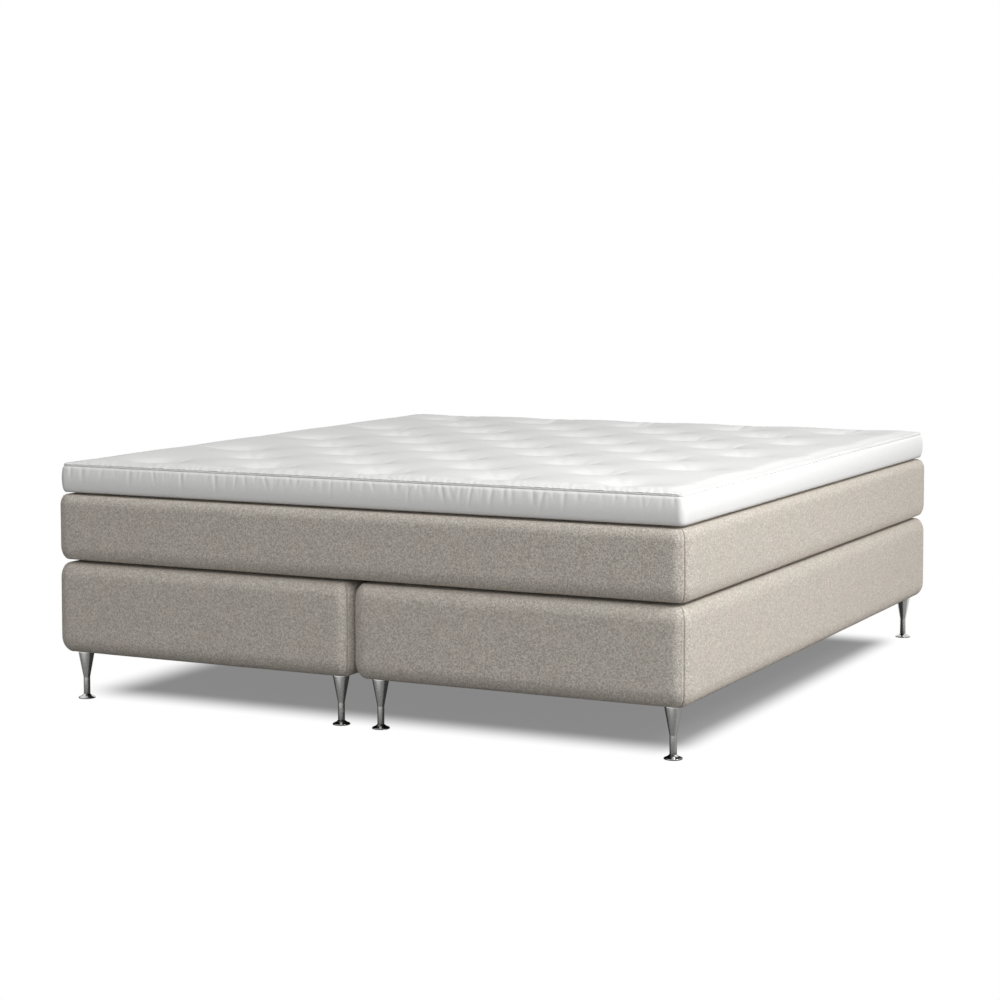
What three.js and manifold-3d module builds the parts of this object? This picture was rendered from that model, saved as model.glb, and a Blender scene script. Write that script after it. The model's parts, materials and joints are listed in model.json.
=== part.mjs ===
// A box spring bed: two upholstered bases on turned steel legs, one sprung mattress over both,
// and a thin tufted topper. Millimetres, +Z up, the foot end of the bed faces -Y.
// The origin is on the floor under the middle of the bed.
import * as THREE from 'three';
import { mergeVertices } from 'three/addons/utils/BufferGeometryUtils.js';
import Module from 'manifold-3d';

const wasm = await Module();
wasm.setup();

// The whole bed
const bedWidth = 1800;
const bedLength = 2000;
const legHeight = 128;
const baseHeight = 246;
const mattressHeight = 182;
const seatGap = 0.3;

// Round stretches are drawn in this many steps
const cornerSteps = 4;
const edgeSteps = 3;
const turnedSteps = 16;
const holeSteps = 12;

// The two bases, side by side
const baseSplit = 2;
const baseCorner = 40;
const baseTopRise = 46;
const baseTopDepth = 25;
const baseFootRise = 43;
const baseFootDepth = 32;

// The covers: padded cloth, with a thin cloth hem turned in under the frame
const coverWall = 8;
const clothThickness = 2;
const hemWidth = 12;
const leastCorner = 2;

// The wooden frame in each base
const railThickness = 28;
const railHeight = 100;
const blockSide = 72;
const blockHeight = 64;
const slatWidth = 68;
const slatThickness = 12;
const slatSpacing = 155;
const battenWidth = 45;
const battenDepth = 22;
const battenHousing = 3;

// Springs and foam in each base
const baseEdgeFoam = 34;
const basePadThickness = 30;
const pocketPitch = 82;
const pocketSteps = 3;

// Turned legs with a stud on top, and the glides that screw into them
const legInset = 56;
const legTopRadius = 21.5;
const legCollar = 3;
const legShaftRadius = 8.8;
const legShaftTop = 57;
const legShaftBottom = 12;
const studRadius = 5;
const studLength = 42;
const glideRadius = 22.5;
const glideRim = 3.2;
const glideChamfer = 0.8;
const glideWaistRadius = 13.5;
const glideWaistHeight = 7.2;
const spindleRadius = 4;
const spindleLength = 32;

// Steel plates that hold the bases together, screwed up into the inner rails
const linkLength = 96;
const linkWidth = 44;
const linkThickness = 2.5;
const linkFromEnd = 330;
const linkCorner = 6;
const linkHoleRadius = 2.5;

// The mattress
const mattressCorner = 40;
const mattressTopRise = 35;
const mattressTopDepth = 19;
const mattressFootRise = 40;
const mattressFootDepth = 21;
const mattressBorder = 48;
const mattressLowerPad = 20;
const mattressUpperPad = 26;

// The topper: core, gathered side band, piping in the seam, tufted top panel
const topperDrawIn = 8.4;
const topperCorner = 20;
const topperSeamHeight = 72;
const topperCrown = 8;
const crownReach = 120;
const bandFootDepth = 5;
const bandSeamDepth = 3;
const bandBellyShare = 0.5;
const bandFootShare = 0.14;
const gatherDepth = 2.2;
const gathersAcross = 22;
const gathersAlong = 24;
const pipingRadius = 2.2;
const pipingSteps = 6;
const panelThickness = 18;

// The tufts stand in staggered rows
const tuftRows = 9;
const tuftColumns = 5;
const tuftSideMargin = 212;
const tuftEndMargin = 164;
const tuftReach = 95;
const tuftDip = 6;
const tuftPitReach = 34;
const tuftPit = 4;
const stepsPerTuft = 3;
const marginSteps = 3;

// A block with round upright corners and quarter-ellipse upper and lower edges
function blockForm(x, width, length, bottom, top, corner, edges) {
  return { x, halfWidth: width / 2, halfLength: length / 2, bottom, top, corner, ...edges };
}

// The same block, smaller by one amount at the sides, one below and one above
function inside(form, side, below = side, above = side) {
  return {
    x: form.x,
    halfWidth: form.halfWidth - side,
    halfLength: form.halfLength - side,
    bottom: form.bottom + below,
    top: form.top - above,
    corner: form.corner - side,
    topRise: form.topRise - above,
    topDepth: form.topDepth - side,
    footRise: form.footRise - below,
    footDepth: form.footDepth - side,
  };
}

// How far the side of a block is drawn in at each step of its rounded edges
function edgeProfile(form) {
  const profile = [];
  for (let step = 0; step <= edgeSteps; step += 1) {
    const angle = (Math.PI / 2) * (step / edgeSteps);
    const z = form.bottom + form.footRise * (1 - Math.cos(angle));
    profile.push({ z, inset: form.footDepth * (1 - Math.sin(angle)) });
  }
  for (let step = 0; step <= edgeSteps; step += 1) {
    const angle = (Math.PI / 2) * (step / edgeSteps);
    const z = form.top - form.topRise * (1 - Math.sin(angle));
    profile.push({ z, inset: form.topDepth * (1 - Math.cos(angle)) });
  }
  return profile;
}

// The inset of that profile at one height
function insetAt(profile, z) {
  if (z <= profile[0].z) return profile[0].inset;
  for (let step = 1; step < profile.length; step += 1) {
    const low = profile[step - 1];
    const high = profile[step];
    if (z <= high.z) return low.inset + (high.inset - low.inset) * ((z - low.z) / (high.z - low.z));
  }
  return profile[profile.length - 1].inset;
}

// One level outline of a block. The inset may change from point to point round it.
function planRing(form, inset, z, stepsAcross = 1, stepsAlong = 1) {
  const insetOf = typeof inset === 'function' ? inset : () => inset;
  const ring = [];
  for (let quarter = 0; quarter < 4; quarter += 1) {
    const acrossNext = quarter % 2 === 0;
    const sideX = quarter === 0 || quarter === 3 ? 1 : -1;
    const sideY = quarter < 2 ? 1 : -1;
    for (let step = 0; step <= cornerSteps; step += 1) {
      const angle = (Math.PI / 2) * (quarter + step / cornerSteps);
      const reach = insetOf(ring.length);
      const radius = Math.max(form.corner - reach, leastCorner);
      const x = sideX * (form.halfWidth - reach - radius) + radius * Math.cos(angle);
      const y = sideY * (form.halfLength - reach - radius) + radius * Math.sin(angle);
      ring.push(new THREE.Vector3(form.x + x, y, z));
    }
    const sideSteps = acrossNext ? stepsAcross : stepsAlong;
    const way = quarter < 2 ? 1 : -1;
    for (let step = 1; step < sideSteps; step += 1) {
      const reach = insetOf(ring.length);
      const share = way * (1 - (2 * step) / sideSteps);
      const x = acrossNext ? share * (form.halfWidth - form.corner) : sideX * (form.halfWidth - reach);
      const y = acrossNext ? sideY * (form.halfLength - reach) : share * (form.halfLength - form.corner);
      ring.push(new THREE.Vector3(form.x + x, y, z));
    }
  }
  return ring;
}

// A geometry from points and triangles
function facets(points, faces) {
  const geometry = new THREE.BufferGeometry();
  const places = new Float32Array(points.length * 3);
  points.forEach((point, index) => point.toArray(places, index * 3));
  geometry.setAttribute('position', new THREE.BufferAttribute(places, 3));
  geometry.setIndex(faces);
  geometry.computeVertexNormals();
  return geometry;
}

// A skin over a stack of rings, capped at both ends or joined last to first
function loft(rings, joined = false) {
  const count = rings[0].length;
  const points = rings.flat();
  const faces = [];
  const bands = joined ? rings.length : rings.length - 1;
  for (let band = 0; band < bands; band += 1) {
    const low = band * count;
    const high = ((band + 1) % rings.length) * count;
    for (let step = 0; step < count; step += 1) {
      const after = (step + 1) % count;
      faces.push(low + step, low + after, high + after);
      faces.push(low + step, high + after, high + step);
    }
  }
  if (!joined) {
    for (const end of [0, rings.length - 1]) {
      const centre = points.length;
      const middle = new THREE.Vector3();
      rings[end].forEach((point) => middle.add(point));
      points.push(middle.divideScalar(count));
      for (let step = 0; step < count; step += 1) {
        const here = end * count + step;
        const after = end * count + ((step + 1) % count);
        if (end === 0) faces.push(centre, after, here);
        else faces.push(centre, here, after);
      }
    }
  }
  return facets(points, faces);
}

// The rings of a block between two heights
function slabRings(form, low, high) {
  const profile = edgeProfile(form);
  const between = profile.map((entry) => entry.z).filter((z) => z > low && z < high);
  return [low, ...between, high].map((z) => planRing(form, insetAt(profile, z), z));
}

function slab(form, low, high) {
  return loft(slabRings(form, low, high));
}

// A slab with its middle left open, as a border of foam round a spring unit
function border(form, low, high, width) {
  const hole = [high, low].map((z) => planRing(form, width, z));
  return loft([...slabRings(form, low, high), ...hole], true);
}

// A padded cloth shell, open below, with a hem turned in at the bottom
function coverShell(form) {
  const cavity = inside(form, coverWall, clothThickness, coverWall);
  const hem = form.footDepth + hemWidth;
  const inner = slabRings(cavity, cavity.bottom, cavity.top).reverse();
  const hemRings = [cavity.bottom, form.bottom].map((z) => planRing(form, hem, z));
  return loft([...inner, ...hemRings, ...slabRings(form, form.bottom, form.top)]);
}

// The room inside a cover that its filling may take up
function room(form) {
  return inside(inside(form, coverWall, clothThickness, coverWall), seatGap);
}

// A closed geometry as a solid that can be cut, and back
function solidOf(geometry) {
  const bare = geometry.index ? geometry.clone() : mergeVertices(geometry);
  bare.deleteAttribute('normal');
  bare.deleteAttribute('uv');
  const merged = mergeVertices(bare);
  const vertProperties = new Float32Array(merged.attributes.position.array);
  const triVerts = new Uint32Array(merged.index.array);
  return new wasm.Manifold(new wasm.Mesh({ numProp: 3, vertProperties, triVerts }));
}

function geometryOf(solid) {
  const mesh = solid.getMesh();
  const geometry = new THREE.BufferGeometry();
  geometry.setAttribute('position', new THREE.BufferAttribute(new Float32Array(mesh.vertProperties), 3));
  geometry.setIndex([...mesh.triVerts]);
  geometry.computeVertexNormals();
  return geometry;
}

// A plain board between two opposite corners
function board(low, high) {
  const size = new THREE.Vector3().subVectors(high, low);
  const geometry = new THREE.BoxGeometry(size.x, size.y, size.z);
  geometry.translate((low.x + high.x) / 2, (low.y + high.y) / 2, (low.z + high.z) / 2);
  return geometry;
}

// A round hole that clears a bar of the given radius, although both are drawn with flats
function clearRadius(radius, steps) {
  return (radius + seatGap) / Math.cos(Math.PI / steps);
}

function roundHole(x, y, radius) {
  const hole = new THREE.Path();
  for (let step = 0; step < holeSteps; step += 1) {
    const angle = (2 * Math.PI * step) / holeSteps;
    const place = [x + radius * Math.cos(angle), y + radius * Math.sin(angle)];
    if (step === 0) hole.moveTo(...place);
    else hole.lineTo(...place);
  }
  hole.closePath();
  return hole;
}

// A flat plate with round holes, from its outline
function plate(outline, holes, low, thickness) {
  const shape = new THREE.Shape(outline.map((point) => new THREE.Vector2(point.x, point.y)));
  shape.holes = holes;
  const geometry = new THREE.ExtrudeGeometry(shape, { depth: thickness, bevelEnabled: false });
  geometry.translate(0, 0, low);
  return geometry;
}

// A turned piece that stands upright, from its outline in radius and height
function turned(outline) {
  const points = outline.map(([radius, z]) => new THREE.Vector2(radius, z));
  const geometry = new THREE.LatheGeometry(points, turnedSteps);
  geometry.rotateX(Math.PI / 2);
  return geometry;
}

const bed = new THREE.Group();

function add(group, name, geometry, color, roughness, metalness = 0) {
  const material = new THREE.MeshStandardMaterial({ color, roughness, metalness });
  const mesh = new THREE.Mesh(geometry, material);
  mesh.name = name;
  group.add(mesh);
  return mesh;
}

// Finishes
const clothColour = '#b5ada2';
const steelColour = '#9b9b98';
const polishedColour = '#c4c4c2';
const pineColour = '#d8b98a';
const slatColour = '#dcc59c';
const pocketColour = '#e9e7e1';
const foamColour = '#ece4cf';
const feltColour = '#3c3b3a';
const tickingColour = '#f2f2f0';

// A pocket spring unit: rows of cloth tubes side by side, joined where they touch
function pocketUnit(x, halfWidth, halfLength, low, high) {
  const across = Math.floor((2 * halfWidth) / pocketPitch);
  const along = Math.floor((2 * halfLength) / pocketPitch);
  const outline = [];
  const sides = [
    { count: across, from: [-1, -1], way: [1, 0], out: [0, -1] },
    { count: along, from: [1, -1], way: [0, 1], out: [1, 0] },
    { count: across, from: [1, 1], way: [-1, 0], out: [0, 1] },
    { count: along, from: [-1, 1], way: [0, -1], out: [-1, 0] },
  ];
  const crossPitch = (2 * halfWidth) / across;
  const alongPitch = (2 * halfLength) / along;
  const scallop = (pitch) => pitch / 2;
  for (const { count, from, way, out } of sides) {
    const pitch = way[0] === 0 ? alongPitch : crossPitch;
    const depthX = out[0] === 0 ? 0 : scallop(pitch) / pocketSteps;
    const depthY = out[1] === 0 ? 0 : scallop(pitch) / pocketSteps;
    for (let pocket = 0; pocket < count; pocket += 1) {
      for (let step = 0; step < pocketSteps; step += 1) {
        const angle = Math.PI * (step / pocketSteps);
        const run = pitch * (pocket + (1 - Math.cos(angle)) / 2);
        const sink = 1 - Math.sin(angle);
        const corner = pocket === 0 && step === 0;
        const px = from[0] * halfWidth + way[0] * run - out[0] * depthX * sink;
        const py = from[1] * halfLength + way[1] * run - out[1] * depthY * sink;
        const cutX = corner ? -from[0] * (scallop(crossPitch) / pocketSteps) : 0;
        const cutY = corner ? -from[1] * (scallop(alongPitch) / pocketSteps) : 0;
        const cornerX = from[0] * halfWidth + cutX;
        const cornerY = from[1] * halfLength + cutY;
        outline.push(new THREE.Vector2(x + (corner ? cornerX : px), corner ? cornerY : py));
      }
    }
  }
  return plate(outline, [], low, high - low);
}

// The heights of the layers in a base, from the floor up
const baseTop = legHeight + baseHeight;
const frameLow = legHeight + clothThickness + seatGap;
const frameHigh = frameLow + railHeight;
const slatLow = frameHigh + seatGap;
const slatHigh = slatLow + slatThickness;
const basePadHigh = baseTop - coverWall - seatGap;
const basePadLow = basePadHigh - basePadThickness;
const baseSpringLow = slatHigh + seatGap;
const baseSpringHigh = basePadLow - seatGap;

const baseWidth = (bedWidth - baseSplit) / 2;
const baseEdges = {
  topRise: baseTopRise,
  topDepth: baseTopDepth,
  footRise: baseFootRise,
  footDepth: baseFootDepth,
};

// Four rails, butted at the corners and rounded where the cover wraps them
function addFrame(group, side, form) {
  const fill = room(form);
  const wrap = solidOf(slab(fill, frameLow, frameHigh));
  const outerX = fill.halfWidth;
  const outerY = fill.halfLength;
  const railX = outerX - railThickness;
  const railY = outerY - railThickness;
  const endX = railX - seatGap;
  const rails = {
    rail_outer: [form.outward * railX, form.outward * outerX, -outerY, outerY],
    rail_inner: [-form.outward * outerX, -form.outward * railX, -outerY, outerY],
    rail_front: [-endX, endX, -outerY, -railY],
    rail_back: [-endX, endX, railY, outerY],
  };
  for (const [name, [x1, x2, y1, y2]] of Object.entries(rails)) {
    const low = new THREE.Vector3(form.x + Math.min(x1, x2), y1, frameLow);
    const high = new THREE.Vector3(form.x + Math.max(x1, x2), y2, frameHigh);
    const rail = solidOf(board(low, high)).intersect(wrap);
    add(group, `${side}_${name}`, geometryOf(rail), pineColour, 0.75);
  }
}

// The places of a base's four legs: inner and outer, front and back
function legPlaces(form) {
  const reachX = form.halfWidth - legInset;
  const reachY = form.halfLength - legInset;
  return [
    { name: 'outer_front', x: form.outward * reachX, y: -reachY },
    { name: 'outer_back', x: form.outward * reachX, y: reachY },
    { name: 'inner_front', x: -form.outward * reachX, y: -reachY },
    { name: 'inner_back', x: -form.outward * reachX, y: reachY },
  ];
}

// Blocks glued into the frame's corners, bored for the studs of the legs
function addCornerBlocks(group, side, form) {
  const fill = room(form);
  const outerX = fill.halfWidth - railThickness - seatGap;
  const outerY = fill.halfLength - railThickness - seatGap;
  for (const place of legPlaces(form)) {
    const sideX = Math.sign(place.x);
    const sideY = Math.sign(place.y);
    const outline = [
      [sideX * outerX, sideY * outerY],
      [sideX * (outerX - blockSide), sideY * outerY],
      [sideX * (outerX - blockSide), sideY * (outerY - blockSide)],
      [sideX * outerX, sideY * (outerY - blockSide)],
    ].map(([x, y]) => new THREE.Vector2(form.x + x, y));
    const hole = roundHole(form.x + place.x, place.y, clearRadius(studRadius, holeSteps));
    const block = plate(outline, [hole], frameLow, blockHeight);
    add(group, `${side}_block_${place.name}`, block, pineColour, 0.8);
  }
}

// Cross slats on the rails, housed over a batten that runs down the middle
function addSlatDeck(group, side, form) {
  const fill = room(form);
  const endMargin = form.corner - coverWall;
  const halfSpan = fill.halfWidth - seatGap;
  const reachY = fill.halfLength - endMargin - slatWidth / 2;
  const gaps = Math.round((2 * reachY) / slatSpacing);
  const battenEnd = fill.halfLength - railThickness - seatGap;
  const battenTop = slatLow + battenHousing;
  let deck = solidOf(board(
    new THREE.Vector3(form.x - battenWidth / 2, -battenEnd, battenTop - battenDepth),
    new THREE.Vector3(form.x + battenWidth / 2, battenEnd, battenTop),
  ));
  for (let slat = 0; slat <= gaps; slat += 1) {
    const y = -reachY + (2 * reachY * slat) / gaps;
    const low = new THREE.Vector3(form.x - halfSpan, y - slatWidth / 2, slatLow);
    const high = new THREE.Vector3(form.x + halfSpan, y + slatWidth / 2, slatHigh);
    deck = deck.add(solidOf(board(low, high)));
  }
  add(group, `${side}_slat_deck`, geometryOf(deck), slatColour, 0.7);
}

// Springs, the foam border round them and the pad over both
function addBaseFilling(group, side, form) {
  const fill = room(form);
  const halfX = fill.halfWidth - baseEdgeFoam - seatGap;
  const halfY = fill.halfLength - baseEdgeFoam - seatGap;
  const springs = pocketUnit(form.x, halfX, halfY, baseSpringLow, baseSpringHigh);
  add(group, `${side}_spring_unit`, springs, pocketColour, 0.9);
  const foam = border(fill, baseSpringLow, baseSpringHigh, baseEdgeFoam);
  add(group, `${side}_edge_foam`, foam, foamColour, 0.95);
  add(group, `${side}_foam_pad`, slab(fill, basePadLow, basePadHigh), foamColour, 0.95);
}

// The cloth cover and the thin felt that closes the underside inside its hem
function addBaseCovers(group, side, form) {
  add(group, `${side}_base_cover`, coverShell(form), clothColour, 0.95);
  const outline = planRing(form, form.footDepth + hemWidth + seatGap, form.bottom);
  const holes = legPlaces(form).map((place) => (
    roundHole(form.x + place.x, place.y, clearRadius(studRadius, holeSteps))
  ));
  const felt = plate(outline, holes, form.bottom, clothThickness);
  add(group, `${side}_dust_cover`, felt, feltColour, 1);
}

// A leg: stud, flared cone, straight shaft, and a bore from below for the glide's spindle
function legGeometry() {
  const bore = clearRadius(spindleRadius, turnedSteps);
  const boreTop = legShaftBottom + spindleLength + seatGap;
  const legTop = legHeight - seatGap;
  return turned([
    [0, boreTop],
    [bore, boreTop],
    [bore, legShaftBottom],
    [legShaftRadius, legShaftBottom],
    [legShaftRadius, legShaftTop],
    [legTopRadius, legTop - legCollar],
    [legTopRadius, legTop],
    [studRadius, legTop],
    [studRadius, legTop + studLength],
    [0, legTop + studLength],
  ]);
}

// A glide: flared foot with a flat face to the floor and a spindle that levels the bed
function glideGeometry() {
  const neck = legShaftBottom - seatGap;
  return turned([
    [0, 0],
    [glideRadius - glideChamfer, 0],
    [glideRadius, glideChamfer],
    [glideRadius, glideRim],
    [glideWaistRadius, glideWaistHeight],
    [legShaftRadius, neck],
    [spindleRadius, neck],
    [spindleRadius, neck + spindleLength],
    [0, neck + spindleLength],
  ]);
}

function addLegs(group, side, form) {
  for (const place of legPlaces(form)) {
    const leg = add(group, `${side}_leg_${place.name}`, legGeometry(), steelColour, 0.35, 1);
    leg.position.set(form.x + place.x, place.y, 0);
    const glide = add(group, `${side}_glide_${place.name}`, glideGeometry(), polishedColour, 0.15, 1);
    glide.position.set(form.x + place.x, place.y, 0);
  }
}

for (const [side, outward] of [['left', -1], ['right', 1]]) {
  const middle = (outward * (baseSplit + baseWidth)) / 2;
  const form = blockForm(middle, baseWidth, bedLength, legHeight, baseTop, baseCorner, baseEdges);
  form.outward = outward;
  const group = new THREE.Group();
  addFrame(group, side, form);
  addCornerBlocks(group, side, form);
  addSlatDeck(group, side, form);
  addBaseFilling(group, side, form);
  addBaseCovers(group, side, form);
  addLegs(group, side, form);
  bed.add(group);
}

// The link plates lie flat under both inner rails
function addLinkPlate(name, y) {
  const corner = { x: 0, halfWidth: linkLength / 2, halfLength: linkWidth / 2, corner: linkCorner };
  const low = legHeight - seatGap - linkThickness;
  const outline = planRing(corner, 0, low).map((point) => point.add(new THREE.Vector3(0, y, 0)));
  const railMiddle = baseSplit / 2 + coverWall + seatGap + railThickness / 2;
  const holes = [];
  for (const sideX of [-1, 1]) {
    for (const sideY of [-1, 1]) {
      holes.push(roundHole(sideX * railMiddle, y + (sideY * linkWidth) / 4, linkHoleRadius));
    }
  }
  add(bed, name, plate(outline, holes, low, linkThickness), steelColour, 0.45, 1);
}

addLinkPlate('link_plate_front', linkFromEnd - bedLength / 2);
addLinkPlate('link_plate_back', bedLength / 2 - linkFromEnd);

// The mattress, from the base's top up
const mattressLow = baseTop + seatGap;
const mattressTop = baseTop + mattressHeight;
const mattressForm = blockForm(0, bedWidth, bedLength, mattressLow, mattressTop, mattressCorner, {
  topRise: mattressTopRise,
  topDepth: mattressTopDepth,
  footRise: mattressFootRise,
  footDepth: mattressFootDepth,
});

function addMattress() {
  const group = new THREE.Group();
  const form = mattressForm;
  const fill = room(form);
  const lowerHigh = fill.bottom + mattressLowerPad;
  const upperLow = fill.top - mattressUpperPad;
  const springLow = lowerHigh + seatGap;
  const springHigh = upperLow - seatGap;
  const halfX = fill.halfWidth - mattressBorder - seatGap;
  const halfY = fill.halfLength - mattressBorder - seatGap;
  add(group, 'mattress_cover', coverShell(form), clothColour, 0.95);
  const outline = planRing(form, form.footDepth + hemWidth + seatGap, form.bottom);
  add(group, 'mattress_bottom_panel', plate(outline, [], form.bottom, clothThickness), feltColour, 1);
  add(group, 'mattress_lower_foam', slab(fill, fill.bottom, lowerHigh), foamColour, 0.95);
  add(group, 'mattress_spring_unit', pocketUnit(0, halfX, halfY, springLow, springHigh), pocketColour, 0.9);
  const foam = border(fill, springLow, springHigh, mattressBorder);
  add(group, 'mattress_border_foam', foam, foamColour, 0.95);
  add(group, 'mattress_upper_foam', slab(fill, upperLow, fill.top), foamColour, 0.95);
  bed.add(group);
}

addMattress();

// The topper, from the mattress's top up
const topperLow = mattressTop + seatGap;
const seamLevel = mattressTop + topperSeamHeight;
const bandTop = seamLevel - pipingRadius - seatGap;
const topperForm = {
  x: 0,
  halfWidth: bedWidth / 2 - topperDrawIn,
  halfLength: bedLength / 2 - topperDrawIn,
  corner: topperCorner,
};
const bandInnerInset = bandSeamDepth + 2 * pipingRadius;
const fillInset = bandInnerInset + seatGap;
const panelLow = seamLevel - panelThickness;

// How far the band is drawn in, from the mattress (0) to the seam (1): a rounded foot and a belly
function bandInset(share) {
  if (share < bandFootShare) return bandFootDepth * (1 - Math.sqrt(share / bandFootShare));
  if (share < bandBellyShare) return 0;
  return bandSeamDepth * ((share - bandBellyShare) / (1 - bandBellyShare)) ** 2;
}

// The gathers under the seam: every other point of the band is pulled in, some more than others
function gatherAt(index, share) {
  const pulled = index % 2 === 0 ? 0 : 1;
  const unevenShare = 0.65 + 0.35 * Math.sin(index * 1.9);
  return gatherDepth * pulled * unevenShare * share ** 2;
}

function bandGeometry() {
  const across = 2 * gathersAcross;
  const along = 2 * gathersAlong;
  const outerShares = [0, bandFootShare, bandBellyShare, 1];
  const height = bandTop - topperLow;
  const outer = outerShares.map((share) => {
    const inset = (index) => bandInset(share) + gatherAt(index, share);
    return planRing(topperForm, inset, topperLow + height * share, across, along);
  });
  const inner = [bandTop, topperLow].map((z) => planRing(topperForm, bandInnerInset, z, across, along));
  return loft([...outer, ...inner], true);
}

// The piping: a round cord all along the seam
function pipingGeometry() {
  const rings = [];
  for (let step = 0; step < pipingSteps; step += 1) {
    const angle = (2 * Math.PI * step) / pipingSteps;
    const inset = bandSeamDepth + pipingRadius - pipingRadius * Math.cos(angle);
    rings.push(planRing(topperForm, inset, seamLevel + pipingRadius * Math.sin(angle)));
  }
  return loft(rings, true);
}

// The tufts: rows of five and four by turns
const tuftPitchX = (2 * (topperForm.halfWidth - tuftSideMargin)) / (tuftColumns - 1);
const tuftPitchY = (2 * (topperForm.halfLength - tuftEndMargin)) / (tuftRows - 1);
const tufts = [];
for (let row = 0; row < tuftRows; row += 1) {
  const inRow = tuftColumns - (row % 2);
  for (let column = 0; column < inRow; column += 1) {
    const x = (column - (inRow - 1) / 2) * tuftPitchX;
    const y = (row - (tuftRows - 1) / 2) * tuftPitchY;
    tufts.push({ x, y });
  }
}

const panelHalfX = topperForm.halfWidth - fillInset;
const panelHalfY = topperForm.halfLength - fillInset;

// The height of the top panel: it swells up from the seam and dips at each tuft
function panelHeight(x, y) {
  const fromEdge = Math.min(panelHalfX - Math.abs(x), panelHalfY - Math.abs(y));
  const riseShare = Math.min(fromEdge / crownReach, 1);
  let height = seamLevel + topperCrown * (1 - (1 - riseShare) ** 2);
  for (const tuft of tufts) {
    const away = Math.hypot(x - tuft.x, y - tuft.y);
    height -= tuftDip * Math.exp(-((away / tuftReach) ** 2));
    height -= tuftPit * Math.exp(-((away / tuftPitReach) ** 2));
  }
  return height;
}

// The grid lines of the panel: even between the tufts, then out to the corner and the edge
function panelLines(pitchStep, halfCount, half, corner) {
  const lines = [];
  for (let step = 0; step <= halfCount; step += 1) lines.push(step * pitchStep);
  const last = lines[lines.length - 1];
  const cornerLine = half - corner;
  for (let step = 1; step <= marginSteps; step += 1) {
    lines.push(last + ((cornerLine - last) * step) / marginSteps);
  }
  lines.push(half);
  return [...lines.slice(1).reverse().map((line) => -line), ...lines];
}

function topPanelGeometry() {
  const corner = topperCorner - fillInset;
  const halfColumns = (tuftColumns - 1) * stepsPerTuft;
  const halfRows = ((tuftRows - 1) / 2) * stepsPerTuft;
  const xs = panelLines(tuftPitchX / (2 * stepsPerTuft), halfColumns, panelHalfX, corner);
  const ys = panelLines(tuftPitchY / stepsPerTuft, halfRows, panelHalfY, corner);
  const points = [];
  const faces = [];
  for (const lineY of ys) {
    for (const lineX of xs) {
      const atCorner = Math.abs(lineX) === panelHalfX && Math.abs(lineY) === panelHalfY;
      const pull = atCorner ? corner * (1 - Math.SQRT1_2) : 0;
      const x = lineX - Math.sign(lineX) * pull;
      const y = lineY - Math.sign(lineY) * pull;
      points.push(new THREE.Vector3(x, y, panelHeight(x, y)));
    }
  }
  const wide = xs.length;
  const long = ys.length;
  for (let row = 0; row < long - 1; row += 1) {
    for (let column = 0; column < wide - 1; column += 1) {
      const here = row * wide + column;
      faces.push(here, here + 1, here + wide + 1);
      faces.push(here, here + wide + 1, here + wide);
    }
  }
  const rim = [];
  for (let column = 0; column < wide; column += 1) rim.push(column);
  for (let row = 1; row < long; row += 1) rim.push(row * wide + wide - 1);
  for (let column = wide - 2; column >= 0; column -= 1) rim.push((long - 1) * wide + column);
  for (let row = long - 2; row > 0; row -= 1) rim.push(row * wide);
  const under = points.length;
  for (const index of rim) points.push(points[index].clone().setZ(panelLow));
  const centre = points.length;
  points.push(new THREE.Vector3(0, 0, panelLow));
  for (let step = 0; step < rim.length; step += 1) {
    const after = (step + 1) % rim.length;
    faces.push(rim[step], under + step, under + after);
    faces.push(rim[step], under + after, rim[after]);
    faces.push(centre, under + after, under + step);
  }
  return facets(points, faces);
}

function addTopper() {
  const group = new THREE.Group();
  const coreLow = topperLow + clothThickness + seatGap;
  const coreHigh = panelLow - seatGap;
  const bottom = planRing(topperForm, fillInset, topperLow);
  add(group, 'topper_bottom_panel', plate(bottom, [], topperLow, clothThickness), tickingColour, 0.9);
  const core = loft([coreLow, coreHigh].map((z) => planRing(topperForm, fillInset, z)));
  add(group, 'topper_core', core, foamColour, 0.95);
  add(group, 'topper_side_band', bandGeometry(), tickingColour, 0.85);
  add(group, 'topper_piping', pipingGeometry(), tickingColour, 0.85);
  add(group, 'topper_top_panel', topPanelGeometry(), tickingColour, 0.85);
  bed.add(group);
}

addTopper();

export default bed;
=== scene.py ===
# %% [markdown]
# # A box spring bed
# The bed is two upholstered base boxes side by side on eight metal legs, one sprung mattress across
# both, and a thin white topper. The construction is already packed as a frame of plain solids in metres.
# This lesson loads that frame and dresses it: it models the cloth, the padding and the turned metal as
# fine meshes, gives every piece a procedural finish, and lights the whole for a catalogue picture.

# %% The frame
import json
import math

import bmesh
import bpy
import numpy as np
from mathutils import Euler, Matrix, Vector, noise

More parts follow.
